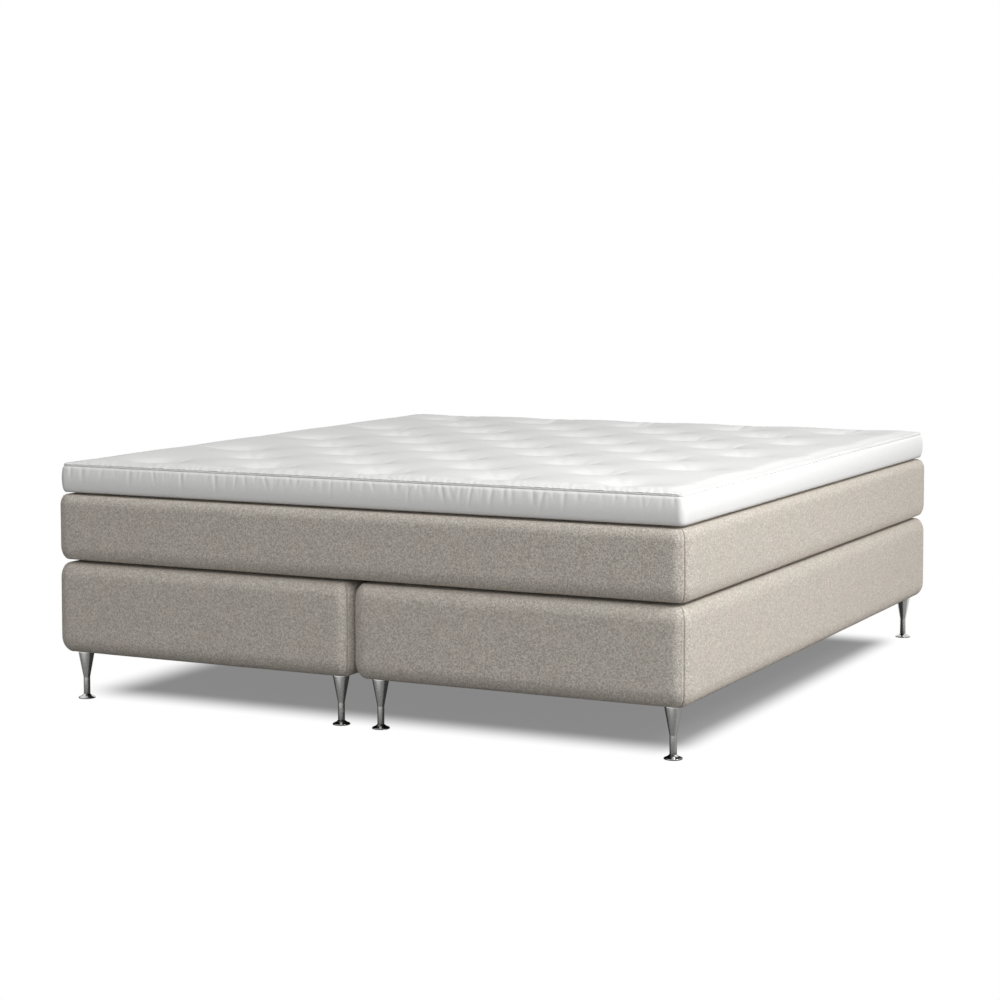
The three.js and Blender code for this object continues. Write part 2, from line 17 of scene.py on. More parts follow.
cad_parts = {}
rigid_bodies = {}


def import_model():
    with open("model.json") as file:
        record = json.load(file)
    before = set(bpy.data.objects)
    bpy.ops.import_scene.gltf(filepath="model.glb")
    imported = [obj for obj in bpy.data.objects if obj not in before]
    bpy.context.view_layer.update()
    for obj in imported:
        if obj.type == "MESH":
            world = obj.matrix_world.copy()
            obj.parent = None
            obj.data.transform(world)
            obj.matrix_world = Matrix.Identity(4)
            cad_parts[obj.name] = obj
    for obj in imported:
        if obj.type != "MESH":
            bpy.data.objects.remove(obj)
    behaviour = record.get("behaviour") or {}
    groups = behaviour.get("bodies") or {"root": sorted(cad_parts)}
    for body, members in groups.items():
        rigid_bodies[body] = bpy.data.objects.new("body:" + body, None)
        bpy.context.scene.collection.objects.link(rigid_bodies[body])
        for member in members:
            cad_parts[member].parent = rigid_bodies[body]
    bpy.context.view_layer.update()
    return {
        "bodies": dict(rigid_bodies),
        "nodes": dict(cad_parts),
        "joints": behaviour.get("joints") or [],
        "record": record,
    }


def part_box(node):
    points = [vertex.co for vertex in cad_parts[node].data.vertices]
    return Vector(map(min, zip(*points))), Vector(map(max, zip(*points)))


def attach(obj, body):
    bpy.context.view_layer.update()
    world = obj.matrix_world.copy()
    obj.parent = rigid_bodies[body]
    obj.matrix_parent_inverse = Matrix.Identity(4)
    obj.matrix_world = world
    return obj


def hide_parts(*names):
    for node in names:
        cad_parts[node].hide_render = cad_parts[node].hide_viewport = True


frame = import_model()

MM = 0.001
nodes = frame["nodes"]

# %% [markdown]
# ## The camera
# The picture is a calm product view from the foot end. It was taken from about six metres away with a
# long lens, a little higher than the bed, so the upright edges stay upright. The picture is cut from the
# lower part of a taller frame. A lens shift does the same here, and tilting the camera would not.

# %% The camera
PICTURE_SIDE = 1000
SENSOR_WIDTH = 36.0
FOCAL_LENGTH_PIXELS = 2288.6
HORIZON_RISE_PIXELS = 100
CAMERA_PLACE = Vector((2.8378, -5.8888, 1.1974))
CAMERA_TURN = math.radians(26.327)
CAMERA_DIP = math.radians(3.773)
CAMERA_ROLL = math.radians(-0.084)


def add_object(name, data):
    """A new object in the scene that shows some data: a mesh, a lamp or a camera."""
    thing = bpy.data.objects.new(name, data)
    bpy.context.scene.collection.objects.link(thing)
    return thing


def add_camera():
    data = bpy.data.cameras.new("camera")
    data.sensor_width = SENSOR_WIDTH
    data.lens = FOCAL_LENGTH_PIXELS / PICTURE_SIDE * SENSOR_WIDTH
    data.shift_y = -HORIZON_RISE_PIXELS / PICTURE_SIDE
    camera = add_object("camera", data)
    aim = Euler((math.pi / 2 - CAMERA_DIP, 0, CAMERA_TURN)).to_matrix().to_4x4()
    camera.matrix_world = Matrix.Translation(CAMERA_PLACE) @ aim @ Matrix.Rotation(CAMERA_ROLL, 4, "Z")
    bpy.context.scene.camera = camera
    return camera


camera = add_camera()
print("camera: lens", round(camera.data.lens, 2), "mm, shift", camera.data.shift_y)

# %% [markdown]
# ## Two small helpers for materials
# Colours are written as hex values, as a colour chart gives them, and one function turns them into the
# linear numbers that a renderer works with. The other function adds a shader node with its settings and
# its links in one line, so that a material reads from top to bottom like a recipe.


# %% Colours and nodes
def colour(text):
    """A hex colour as linear red, green, blue and a full alpha."""
    shares = [int(text[place:place + 2], 16) / 255 for place in (1, 3, 5)]
    linear = [s / 12.92 if s <= 0.04045 else ((s + 0.055) / 1.055) ** 2.4 for s in shares]
    return (*linear, 1.0)


def add_node(tree, kind, values=None, links=None, tones=(), **settings):
    """Adds a node. values sets its sockets, links joins other nodes' outputs to them, and tones gives
    a colour ramp its ends, each as a place from 0 to 1 and a hex colour."""
    node = tree.nodes.new(kind)
    for name, value in settings.items():
        setattr(node, name, value)
    for socket, value in (values or {}).items():
        node.inputs[socket].default_value = value
    for socket, source in (links or {}).items():
        tree.links.new(source, node.inputs[socket])
    for number, (place, tone) in enumerate(tones):
        node.color_ramp.elements[number].position = place
        node.color_ramp.elements[number].color = colour(tone)
    return node


def new_material(name):
    """An empty material and its node tree, with the output node still unlinked."""
    material = bpy.data.materials.new(name)
    material.use_nodes = True
    material.node_tree.nodes.clear()
    return material, material.node_tree


print("a mid grey:", [round(c, 3) for c in colour("#808080")])

# %% [markdown]
# ## Fill light and background
# A studio shot of a bed has a soft lamp on one side and a paler fill from everywhere else. The world
# gives the fill. It is brightest from the front right and from above, as from a large white wall, and
# never quite dark. Where the camera or a reflection looks at it, the world is plain white instead, so
# the background brings no extra light on the bed.

# %% Fill light and background
WHITE = colour("#FFFFFF")
FILL_LEAST = 0.1
FILL_LEAN = (0.96, -0.84, 0.63)


def add_seen_directly(tree):
    """One where a ray comes from the camera, a reflection or glass, and zero for the light itself."""
    path = add_node(tree, "ShaderNodeLightPath")
    mirror = add_node(tree, "ShaderNodeMath", operation="MAXIMUM",
                      links={0: path.outputs["Is Camera Ray"], 1: path.outputs["Is Glossy Ray"]})
    return add_node(tree, "ShaderNodeMath", operation="MAXIMUM",
                    links={0: mirror.outputs[0], 1: path.outputs["Is Transmission Ray"]}).outputs[0]


def add_world():
    world = bpy.data.worlds.new("studio")
    bpy.context.scene.world = world
    world.use_nodes = True
    tree = world.node_tree
    tree.nodes.clear()
    place = add_node(tree, "ShaderNodeTexCoord")
    lean = add_node(tree, "ShaderNodeVectorMath", operation="DOT_PRODUCT",
                    links={0: place.outputs["Generated"]}, values={1: FILL_LEAN})
    fill = add_node(tree, "ShaderNodeMath", operation="MAXIMUM",
                    links={0: lean.outputs["Value"]}, values={1: FILL_LEAST})
    light = add_node(tree, "ShaderNodeBackground", values={"Color": WHITE},
                     links={"Strength": fill.outputs[0]})
    backdrop = add_node(tree, "ShaderNodeBackground", values={"Color": WHITE, "Strength": 1})
    mixed = add_node(tree, "ShaderNodeMixShader",
                     links={0: add_seen_directly(tree), 1: light.outputs[0], 2: backdrop.outputs[0]})
    add_node(tree, "ShaderNodeOutputWorld", links={0: mixed.outputs[0]})


bpy.context.scene.view_settings.view_transform = "Standard"
add_world()
print("fill: leans", FILL_LEAN, "and is never under", FILL_LEAST)

# %% [markdown]
# ## Lamp and floor
# The lamp stands to the right, so that the long side is bright and the foot end is in half shade. A
# real studio floor under such a bed is white with one even grey shadow. A single lamp draws that shadow
# too dark in the middle and too sharp at its edge. So the floor carries it as soft-edged paint, which
# only the camera and reflections see, and turns white outside it. To the light itself the floor is a
# plain grey that throws a little light back under the bed.

# %% Lamp and floor
KEY_PLACE = Vector((3.4, -1.22, 2.65))
KEY_AIM = Vector((0.3, -0.1, 0.35))
KEY_SIDE = 1.2
KEY_POWER = 92.5
FLOOR_HALF_SIDE = 40
FLOOR_PAINT = "#707070"
SHADOW_PAINT = "#686868"
SHADOW_LEVEL = 0.242
SHADOW_EDGES = [("X", 0.77, 0.87), ("X", -0.76, -0.96), ("Y", 0.76, 0.96), ("Y", -0.76, -0.96)]


def add_key_lamp():
    data = bpy.data.lights.new("key", "AREA")
    data.shape = "SQUARE"
    data.size = KEY_SIDE
    data.energy = KEY_POWER
    lamp = add_object("key", data)
    lamp.location = KEY_PLACE
    lamp.rotation_euler = (KEY_AIM - KEY_PLACE).to_track_quat("-Z", "Y").to_euler()


def shadow_mask(tree, place):
    """Where the painted shadow lies: zero on the floor under the bed and one away from it, with soft edges
    of their own width.
    """
    split = add_node(tree, "ShaderNodeSeparateXYZ", links={0: place})
    sums = {}
    for axis, near, far in SHADOW_EDGES:
        edge = add_node(tree, "ShaderNodeMapRange", links={"Value": split.outputs[axis]},
                        values={"From Min": near, "From Max": far}).outputs[0]
        if axis in sums:
            edge = add_node(tree, "ShaderNodeMath", operation="ADD",
                            links={0: sums[axis], 1: edge}).outputs[0]
        sums[axis] = edge
    past = add_node(tree, "ShaderNodeCombineXYZ", links={"X": sums["X"], "Y": sums["Y"]})
    away = add_node(tree, "ShaderNodeVectorMath", operation="LENGTH", links={0: past.outputs[0]})
    return add_node(tree, "ShaderNodeMapRange", interpolation_type="SMOOTHSTEP",
                    links={"Value": away.outputs["Value"]}).outputs[0]


def painted_floor():
    """Matt studio paint, white to the eye, with a painted soft shadow of the bed that only the camera and
    reflections see, and no shine.
    """
    material, tree = new_material("painted_floor")
    mask = shadow_mask(tree, add_node(tree, "ShaderNodeTexCoord").outputs["Object"])
    paint = add_node(tree, "ShaderNodeBsdfDiffuse", values={"Color": colour(FLOOR_PAINT)})
    seen = add_node(tree, "ShaderNodeBsdfDiffuse", values={"Color": colour(SHADOW_PAINT)})
    # The painted shadow: a fixed glow of SHADOW_LEVEL over a dim diffuse, where the mask is zero.
    lift = add_node(tree, "ShaderNodeEmission", values={"Strength": SHADOW_LEVEL})
    shade = add_node(tree, "ShaderNodeAddShader", links={0: seen.outputs[0], 1: lift.outputs[0]})
    white = add_node(tree, "ShaderNodeEmission", values={"Strength": 1})
    near = add_node(tree, "ShaderNodeMixShader",
                    links={0: mask, 1: shade.outputs[0], 2: white.outputs[0]})
    mixed = add_node(tree, "ShaderNodeMixShader",
                     links={0: add_seen_directly(tree), 1: paint.outputs[0], 2: near.outputs[0]})
    add_node(tree, "ShaderNodeOutputMaterial", links={0: mixed.outputs[0]})
    return material


def add_stage_card(name, corners, material):
    """A flat four-cornered piece of the studio, which is no part of the bed."""
    mesh = bpy.data.meshes.new(name)
    mesh.from_pydata(corners, [], [(0, 1, 2, 3)])
    mesh.materials.append(material)
    card = add_object(name, mesh)
    return card


add_key_lamp()
side = FLOOR_HALF_SIDE
add_stage_card("floor", [(-side, -side, 0), (side, -side, 0), (side, side, 0), (-side, side, 0)],
               painted_floor())
print("lamp:", KEY_POWER, "W,", KEY_SIDE, "m wide, floor:", 2 * FLOOR_HALF_SIDE, "m wide")

# %% [markdown]
# ## Painted reflections for the metal
# Polished metal looks like whatever stands round it, and in an all-white studio it looks like white
# paper. A photographer sets dark and grey cards beside it, and their reflections draw the dark edges
# that make a leg look round and hard. Here the cards are glowing patches of one even level each, which
# only mirror reflections see: painted reflections that light nothing and cast no shadow. Two cards
# stand, and four lie on the floor.

# %% Painted reflections
CARD_HEIGHT = 2.5
CARD_LIFT = 0.0005
REFLECTION_GREY = 0.4
REFLECTION_FLOOR_GREY = 0.25
REFLECTION_BLACK = 0.045
BED_SIDE = 0.89
BED_END = 0.985


def standing(x, y, to_x, to_y):
    """The corners of a card that stands on the floor between two places."""
    return [(x, y, 0), (to_x, to_y, 0), (to_x, to_y, CARD_HEIGHT), (x, y, CARD_HEIGHT)]


def lying(x, y, to_x, to_y):
    """The corners of a card that lies just over the floor."""
    return [(x, y, CARD_LIFT), (to_x, y, CARD_LIFT), (to_x, to_y, CARD_LIFT), (x, to_y, CARD_LIFT)]


PAINTED_REFLECTIONS = {
    "flag_right": (standing(0.6, -7, 7, 3), REFLECTION_GREY),
    "flag_left": (standing(-6, -5, -6, 4), REFLECTION_BLACK),
    "flag_before_the_bed": (lying(-1.4, -1.17, 1.1, -BED_END), REFLECTION_FLOOR_GREY),
    "flag_beside_the_bed": (lying(BED_SIDE, -BED_END, 1.3, 1), REFLECTION_GREY),
    "flag_left_of_the_bed": (lying(-1.3, -BED_END, -BED_SIDE, 1), REFLECTION_FLOOR_GREY),
    # Under the bed the reflections see a black glowing card: painted shade of the floor there.
    "flag_under_the_bed": (lying(-BED_SIDE, -BED_END, BED_SIDE, BED_END), REFLECTION_BLACK),
}


def reflection_glow_card(name, level):
    """A glowing card of one even level, with no shine of its own, that only mirror reflections see: a
    painted reflection.
    """
    material, tree = new_material(name)
    card = add_node(tree, "ShaderNodeEmission", values={"Strength": level})
    add_node(tree, "ShaderNodeOutputMaterial", links={0: card.outputs[0]})
    return material


for name, (corners, level) in PAINTED_REFLECTIONS.items():
    reflection_card = add_stage_card(name, corners, reflection_glow_card(name, level))
    # The cards glow and only mirror rays see them: painted reflections on the metal, with no light and no
    # shadow.
    reflection_card.visible_camera = reflection_card.visible_diffuse = reflection_card.visible_transmission = reflection_card.visible_shadow = False
print("cards:", len(PAINTED_REFLECTIONS), "from", REFLECTION_BLACK, "to", REFLECTION_GREY)

# %% [markdown]
# ## Upholstery cloth
# The bases and the mattress wear the same thick felted cloth of mixed greige and light yarns. Its yarn
# curls into short worm-like loops a few millimetres long, and pale and dark fibres lie side by side.
# The ridges of a noise pattern have just that look: where the noise crosses its middle value there is a
# thin winding line. Faint patches of warmer and cooler yarn sit under it, and a little sheen stands for
# the fibre ends that catch the light at the rounded edges. The curls are drawn about twice as wide as
# real ones, because from six metres away finer ones would melt into one flat colour.

# %% Upholstery cloth
CURL_SIZE = 5.6 * MM
CURL_WIDTH = 0.1
CURL_TWIST = 0.6
CURL_DEPTH = 0.5 * MM
FIBRE_SIZE = 0.35 * CURL_SIZE
FIBRE_SHARE = 0.4
PATCH_SIZE = 90 * MM


def add_curls(tree, place):
    """Winding curls: 1 along the lines where a noise crosses its middle, and 0 away from them."""
    field = add_node(tree, "ShaderNodeTexNoise", links={"Vector": place},
                     values={"Scale": 1 / CURL_SIZE, "Detail": 1, "Distortion": CURL_TWIST})
    middle = add_node(tree, "ShaderNodeMath", operation="SUBTRACT",
                      links={0: field.outputs["Fac"]}, values={1: 0.5})
    off = add_node(tree, "ShaderNodeMath", operation="ABSOLUTE", links={0: middle.outputs[0]})
    return add_node(tree, "ShaderNodeMapRange", links={"Value": off.outputs[0]},
                    values={"From Min": 0, "From Max": CURL_WIDTH, "To Min": 1, "To Max": 0}).outputs[0]


def upholstery_cloth():
    """Felted polyester and wool: matt and grainy to the eye, with a soft bloom at the edges."""
    material, tree = new_material("felted_upholstery_cloth")
    place = add_node(tree, "ShaderNodeTexCoord").outputs["Object"]
    curls = add_curls(tree, place)
    fibres = add_node(tree, "ShaderNodeTexNoise", links={"Vector": place},
                      values={"Scale": 1 / FIBRE_SIZE, "Detail": 2})
    yarn = add_node(tree, "ShaderNodeMix", data_type="FLOAT", values={0: FIBRE_SHARE},
                    links={2: curls, 3: fibres.outputs["Fac"]})
    yarn_tone = add_node(tree, "ShaderNodeValToRGB", links={0: yarn.outputs[0]},
                         tones=[(0.1, "#A7A099"), (0.8, "#DCD6CE")])
    patches = add_node(tree, "ShaderNodeTexNoise", links={"Vector": place},
                       values={"Scale": 1 / PATCH_SIZE, "Detail": 2})
    patch_tone = add_node(tree, "ShaderNodeValToRGB", links={0: patches.outputs["Fac"]},
                          tones=[(0.35, "#F9FAF8"), (0.65, "#FBF9F7")])
    dyed = add_node(tree, "ShaderNodeMix", data_type="RGBA", blend_type="MULTIPLY", values={0: 1},
                    links={6: yarn_tone.outputs[0], 7: patch_tone.outputs[0]})
    relief = add_node(tree, "ShaderNodeBump", links={"Height": yarn.outputs[0]},
                      values={"Strength": 1, "Distance": CURL_DEPTH})
    surface = add_node(tree, "ShaderNodeBsdfPrincipled",
                       values={"Roughness": 0.95, "Specular IOR Level": 0.2, "Sheen Weight": 0.4,
                               "Sheen Roughness": 0.6, "Sheen Tint": colour("#F6E9D8")},
                       links={"Base Color": dyed.outputs[2], "Normal": relief.outputs[0]})
    add_node(tree, "ShaderNodeOutputMaterial", links={0: surface.outputs[0]})
    return material


cloth = upholstery_cloth()
print("cloth: curls of", round(CURL_SIZE / MM, 1), "mm")

# %% [markdown]
# ## Ticking, foam, felt and thread
# The topper's cover is a smooth white knit. Seen from a step away it has no pattern, only a very fine
# grain and a silky light. The other cloths and the foam differ from it in colour, in the size of their
# grain and in how deep it is, so one function makes them all. Knit rows, foam cells and the fibres of
# felt and thread are far finer than a pixel of the picture, so all of them are drawn a little coarser
# than they are, as a faint relief.

# %% Soft finishes
KNIT_ROW = 2.5 * MM
KNIT_DEPTH = 0.08 * MM


def grained(name, dark, light, grain, depth, rough, detail=4, gloss=0.2):
    """A matt material of two near colours in an even grain, as cloth, foam, felt and thread have."""
    material, tree = new_material(name)
    place = add_node(tree, "ShaderNodeTexCoord").outputs["Object"]
    field = add_node(tree, "ShaderNodeTexNoise", links={"Vector": place},
                     values={"Scale": 1 / grain, "Detail": detail})
    tone = add_node(tree, "ShaderNodeValToRGB", links={0: field.outputs["Fac"]},
                    tones=[(0.3, dark), (0.7, light)])
    relief = add_node(tree, "ShaderNodeBump", links={"Height": field.outputs["Fac"]},
                      values={"Strength": 1, "Distance": depth})
    surface = add_node(tree, "ShaderNodeBsdfPrincipled",
                       values={"Roughness": rough, "Specular IOR Level": gloss},
                       links={"Base Color": tone.outputs[0], "Normal": relief.outputs[0]})
    add_node(tree, "ShaderNodeOutputMaterial", links={0: surface.outputs[0]})
    return material


# Bleached polyester knit: white, dense and slightly silky.
ticking = grained("knitted_ticking", "#E7E7E6", "#F0F0EF", KNIT_ROW, KNIT_DEPTH, 0.85,
                  detail=3, gloss=0.12)
# Cut polyurethane foam: a chalky cream with open cells and no shine at all.
foam = grained("cut_foam", "#DDD3B8", "#EFE7D2", 3 * MM, 0.4 * MM, 0.95)
# Spunbond polypropylene of the pockets: pale and papery.
pocket_cloth = grained("spunbond_pocket_cloth", "#DDDBD4", "#EEECE7", 1.5 * MM, 0.1 * MM, 0.9)
# Needled felt of the dust covers: nearly black and fuzzy, so it hides in the shadow.
dust_felt = grained("needled_dust_felt", "#2E2D2C", "#454341", 2.5 * MM, 0.3 * MM, 1.0)
# Twisted polyester thread: a darker line than the cloth beside it, or a white one on the topper.
thread = grained("twisted_thread", "#8F877C", "#B3AB9F", 1 * MM, 0.1 * MM, 0.8)
white_thread = grained("twisted_white_thread", "#DADAD8", "#EFEFEE", 1 * MM, 0.1 * MM, 0.7)
print("soft finishes: knit rows of", round(KNIT_ROW / MM, 1), "mm")

# %% [markdown]
# ## Timber and steel
# Pine shows long growth rings along the board, and birch slats are finer and paler. A noise that is
# stretched along the board gives both. The legs are turned from steel and polished, and polishing
# leaves faint lines that run round the piece. They break each reflection a little, and the glides'
# are finer than the legs'. Real ones are about a tenth of a millimetre apart, so they are drawn
# coarser to show at all.

# %% Timber and steel
PLANED_DEPTH = 0.15 * MM
ALONG = 0.06
LINE_STRETCH = 0.02
LEAST_WEAR = 0.8
MOST_WEAR = 1.2


def planed_wood(name, dark, light, ring, way):
    """Planed timber. ring is the width of a growth ring and way the stretch of the grain."""
    material, tree = new_material(name)
    place = add_node(tree, "ShaderNodeTexCoord").outputs["Object"]
    long = add_node(tree, "ShaderNodeMapping", values={"Scale": way}, links={"Vector": place})
    field = add_node(tree, "ShaderNodeTexNoise", links={"Vector": long.outputs[0]},
                     values={"Scale": 1 / ring, "Detail": 5, "Roughness": 0.6})
    tone = add_node(tree, "ShaderNodeValToRGB", links={0: field.outputs["Fac"]},
                    tones=[(0.35, dark), (0.6, light)])
    relief = add_node(tree, "ShaderNodeBump", links={"Height": field.outputs["Fac"]},
                      values={"Strength": 1, "Distance": PLANED_DEPTH})
    surface = add_node(tree, "ShaderNodeBsdfPrincipled",
                       values={"Roughness": 0.6, "Specular IOR Level": 0.35},
                       links={"Base Color": tone.outputs[0], "Normal": relief.outputs[0]})
    add_node(tree, "ShaderNodeOutputMaterial", links={0: surface.outputs[0]})
    return material


def lined_steel(name, dark, light, rough, line):
    """Turned or rolled steel. line is the spacing of its faint tool lines, which lie level."""
    material, tree = new_material(name)
    place = add_node(tree, "ShaderNodeTexCoord").outputs["Object"]
    flat = add_node(tree, "ShaderNodeMapping", links={"Vector": place},
                    values={"Scale": (LINE_STRETCH, LINE_STRETCH, 1)})
    field = add_node(tree, "ShaderNodeTexNoise", links={"Vector": flat.outputs[0]},
                     values={"Scale": 1 / line, "Detail": 3})
    tone = add_node(tree, "ShaderNodeValToRGB", links={0: field.outputs["Fac"]},
                    tones=[(0.3, dark), (0.7, light)])
    wear = add_node(tree, "ShaderNodeMapRange", links={"Value": field.outputs["Fac"]},
                    values={"To Min": rough * LEAST_WEAR, "To Max": rough * MOST_WEAR})
    surface = add_node(tree, "ShaderNodeBsdfPrincipled", values={"Metallic": 1},
                       links={"Base Color": tone.outputs[0], "Roughness": wear.outputs[0]})
    add_node(tree, "ShaderNodeOutputMaterial", links={0: surface.outputs[0]})
    return material


# Planed pine of the rails and blocks: warm yellow with broad rings and a dull face.
pine = planed_wood("planed_pine", "#C49A5F", "#E2C08A", 9 * MM, (1, ALONG, 1))
# Planed birch of the slats: paler and finer, with its grain across the bed.
birch = planed_wood("planed_birch", "#D2B07A", "#E6CFA2", 5 * MM, (ALONG, 1, 1))
# Turned and polished steel of the legs: bright, with reflections a little softened by the lines.
leg_steel = lined_steel("turned_leg_steel", "#C9C9C7", "#D3D3D1", 0.25, 0.6 * MM)
# The glides' steel is polished further, so its reflections are sharper and darker at the edges.
glide_steel = lined_steel("polished_glide_steel", "#C9C9C8", "#D3D3D2", 0.17, 0.5 * MM)
# Rolled and zinc plated steel of plates, screws and staples: bluish grey and dull.
link_steel = lined_steel("rolled_plate_steel", "#B4B8BA", "#CBCED0", 0.4, 1.2 * MM)
print("finishes:", len(bpy.data.materials), "materials")

# %% [markdown]
# ## Rounded boxes
# Nearly everything soft on this bed is a rounded box: a cover, a foam slab, the border round the
# springs. All of them are made the same way. A ring of points runs round the box, and rings are stacked
# with a little more or less inset. A box says how far its side is drawn in at each height, and its
# stations say where the points of every ring stand.

# %% Rounded boxes
LEAST_RADIUS = 2 * MM
CORNER_STEPS = 12


def even_corner(steps):
    """Shares of a corner's turn at even steps."""
    return np.linspace(0, 1, steps + 1)


class Box:
    """A rounded box. The edges are quarter ellipses, each given as its rise and its depth."""

    def __init__(self, low, high, corner, foot, top):
        self.middle = np.array([(low.x + high.x) / 2, (low.y + high.y) / 2])
        self.half = np.array([(high.x - low.x) / 2, (high.y - low.y) / 2])
        self.low = low.z
        self.high = high.z
        self.corner = corner
        self.foot_rise, self.foot_depth = foot
        self.top_rise, self.top_depth = top

    def inset_at(self, z):
        """How far the side is drawn in at a height."""
        if z < self.low + self.foot_rise:
            share = 1 - max(z - self.low, 0) / self.foot_rise
            return self.foot_depth * (1 - math.sqrt(1 - share ** 2))
        if z > self.high - self.top_rise:
            share = 1 - max(self.high - z, 0) / self.top_rise
            return self.top_depth * (1 - math.sqrt(1 - share ** 2))
        return 0.0


class Stations:
    """Where the points of every ring of a box stand, and which way out is."""

    def __init__(self, box, spacing, turns=even_corner(CORNER_STEPS)):
        self.box = box
        straight = box.half - box.corner
        signs = [(1, 1), (-1, 1), (-1, -1), (1, -1)]
        places, ways, arcs, self.corners = [], [], [], []
        for quarter in range(4):
            here = np.array(signs[quarter]) * straight
            after = np.array(signs[(quarter + 1) % 4]) * straight
            self.corners.append(len(places) + len(turns) // 2)
            for turn in turns:
                angle = (quarter + turn) * math.pi / 2
                places.append(here)
                ways.append((math.cos(angle), math.sin(angle)))
                arcs.append((turn - 0.5) * box.corner * math.pi / 2)
            count = math.ceil(np.abs(after - here).max() / spacing)
            for step in range(1, count):
                places.append(here + (after - here) * step / count)
                ways.append((math.cos(angle), math.sin(angle)))
                arcs.append(math.inf)
        self.places = np.array(places)
        self.ways = np.array(ways)
        self.arcs = np.array(arcs)

    def ring(self, inset, z):
        """One ring. inset and z are a number, or one number for each point."""
        inset = np.broadcast_to(inset, len(self.places))
        radius = np.maximum(self.box.corner - inset, LEAST_RADIUS)
        reach = self.box.half - (inset + radius)[:, None]
        centre = np.clip(self.places, -reach, reach)
        flat = self.box.middle + centre + self.ways * radius[:, None]
        return np.column_stack([flat, np.broadcast_to(z, len(flat))])


print("a plain corner turns in", CORNER_STEPS, "steps")

# %% [markdown]
# ## Skins and caps
# Quads join each ring to the next. The open end is closed by a cap of rows and columns, blended between
# the four sides of the last ring. So even the top of a cover is clean quads, with no pole in the middle
# that would show as a star in a soft reflection.


# %% Skins and caps
def cap_points(ring, corners):
    """The points inside a ring, blended between its four sides, and the index grid that joins them."""
    count = len(ring)
    first, second, third, fourth = corners
    across = second - first
    along = third - second
    ids = np.full((along + 1, across + 1), -1)
    ids[0, :] = np.arange(first, second + 1)
    ids[:, across] = np.arange(second, third + 1)
    ids[along, ::-1] = np.arange(third, fourth + 1)
    ids[::-1, 0] = np.arange(fourth, fourth + along + 1) % count
    u = np.linspace(0, 1, across + 1)[None, :, None]
    v = np.linspace(0, 1, along + 1)[:, None, None]
    back, front = ring[ids[0]][None], ring[ids[along]][None]
    right, left = ring[ids[:, 0]][:, None], ring[ids[:, across]][:, None]
    blend = (1 - v) * back + v * front + (1 - u) * right + u * left
    blend -= (1 - u) * (1 - v) * ring[ids[0, 0]] + u * (1 - v) * ring[ids[0, across]]
    blend -= (1 - u) * v * ring[ids[along, 0]] + u * v * ring[ids[along, across]]
    ids[1:-1, 1:-1] = count + np.arange((along - 1) * (across - 1)).reshape(along - 1, across - 1)
    return blend[1:-1, 1:-1].reshape(-1, 3), ids


def grid_quads(ids):
    """The quads of an index grid, facing up where rows run to -Y and columns to -X."""
    corners = [ids[:-1, :-1], ids[:-1, 1:], ids[1:, 1:], ids[1:, :-1]]
    return np.stack([c.ravel() for c in corners], axis=1)


def band_quads(low, high):
    """The quads between two rings of point numbers, facing out where the second is above the first."""
    return np.stack([low, np.roll(low, -1), np.roll(high, -1), high], axis=1)


def skin(rings, corners, closed=False, foot=True):
    """Points and quads of a stack of rings, capped at both ends or joined last to first."""
    count = len(rings[0])
    points = [np.concatenate(rings)]
    numbers = [np.arange(count) + count * level for level in range(len(rings))]
    quads = [band_quads(low, high) for low, high in zip(numbers, numbers[1:])]
    if closed:
        quads.append(band_quads(numbers[-1], numbers[0]))
        return points[0], np.concatenate(quads)
    total = count * len(rings)
    for level, turned in ((0, True), (len(rings) - 1, False))[0 if foot else 1:]:
        inner, ids = cap_points(rings[level], corners)
        ids = np.where(ids < count, ids + count * level, ids - count + total)
        cap = grid_quads(ids)
        quads.append(cap[:, ::-1] if turned else cap)
        points.append(inner)
        total += len(inner)
    return np.concatenate(points), np.concatenate(quads)


print("four rows of four points give", len(grid_quads(np.arange(16).reshape(4, 4))), "quads")

# %% [markdown]
# ## From points to pieces
# The points are worked out as plain arrays and then become a mesh. A few helpers read the points back,
# move them and write them again, because every cover, panel and sheet gets its last relief that way.
# The relief itself is built from three simple forms: slow noise, a soft hump and an eased step.


# %% Points and pieces
def mesh_object(name, points, quads, material):
    """A smooth mesh object at the origin, with one finish."""
    mesh = bpy.data.meshes.new(name)
    mesh.from_pydata(points.tolist(), [], quads.tolist())
    mesh.materials.append(material)
    mesh.shade_smooth()
    mesh.validate()
    return add_object(name, mesh)


def points_of(piece):
    """The points of a mesh as rows of x, y and z."""
    points = np.empty(len(piece.data.vertices) * 3)
    piece.data.vertices.foreach_get("co", points)
    return points.reshape(-1, 3)


def move_points(piece, points):
    """Puts the points of a mesh at new places."""
    piece.data.vertices.foreach_set("co", points.ravel())
    piece.data.update()


def push(piece, amount):
    """Moves every point of a mesh along its own normal by the amount for that point."""
    normals = np.empty(len(piece.data.vertices) * 3)
    piece.data.vertex_normals.foreach_get("vector", normals)
    move_points(piece, points_of(piece) + normals.reshape(-1, 3) * amount[:, None])


def way_in(half, points):
    """How far points lie inside the nearest side of a box of these half sizes."""
    return np.minimum(*(half - np.abs(points)).T)


def unevenness(points, size, seed):
    """Smooth noise from -1 to 1 at each point, with hills about size metres across."""
    shift = Vector((seed, 2 * seed, 3 * seed))
    return np.array([noise.noise(Vector(p) / size + shift) for p in points])


def bell(way, width):
    """A soft hump: 1 in the middle, fading over its width on both sides."""
    return np.exp(-((way / width) ** 2))


def eased(share):
    """A share from 0 to 1 that starts and ends slowly."""
    return share ** 2 * (3 - 2 * share)


print("a hump falls to", round(float(bell(1, 1)), 2), "at its width")

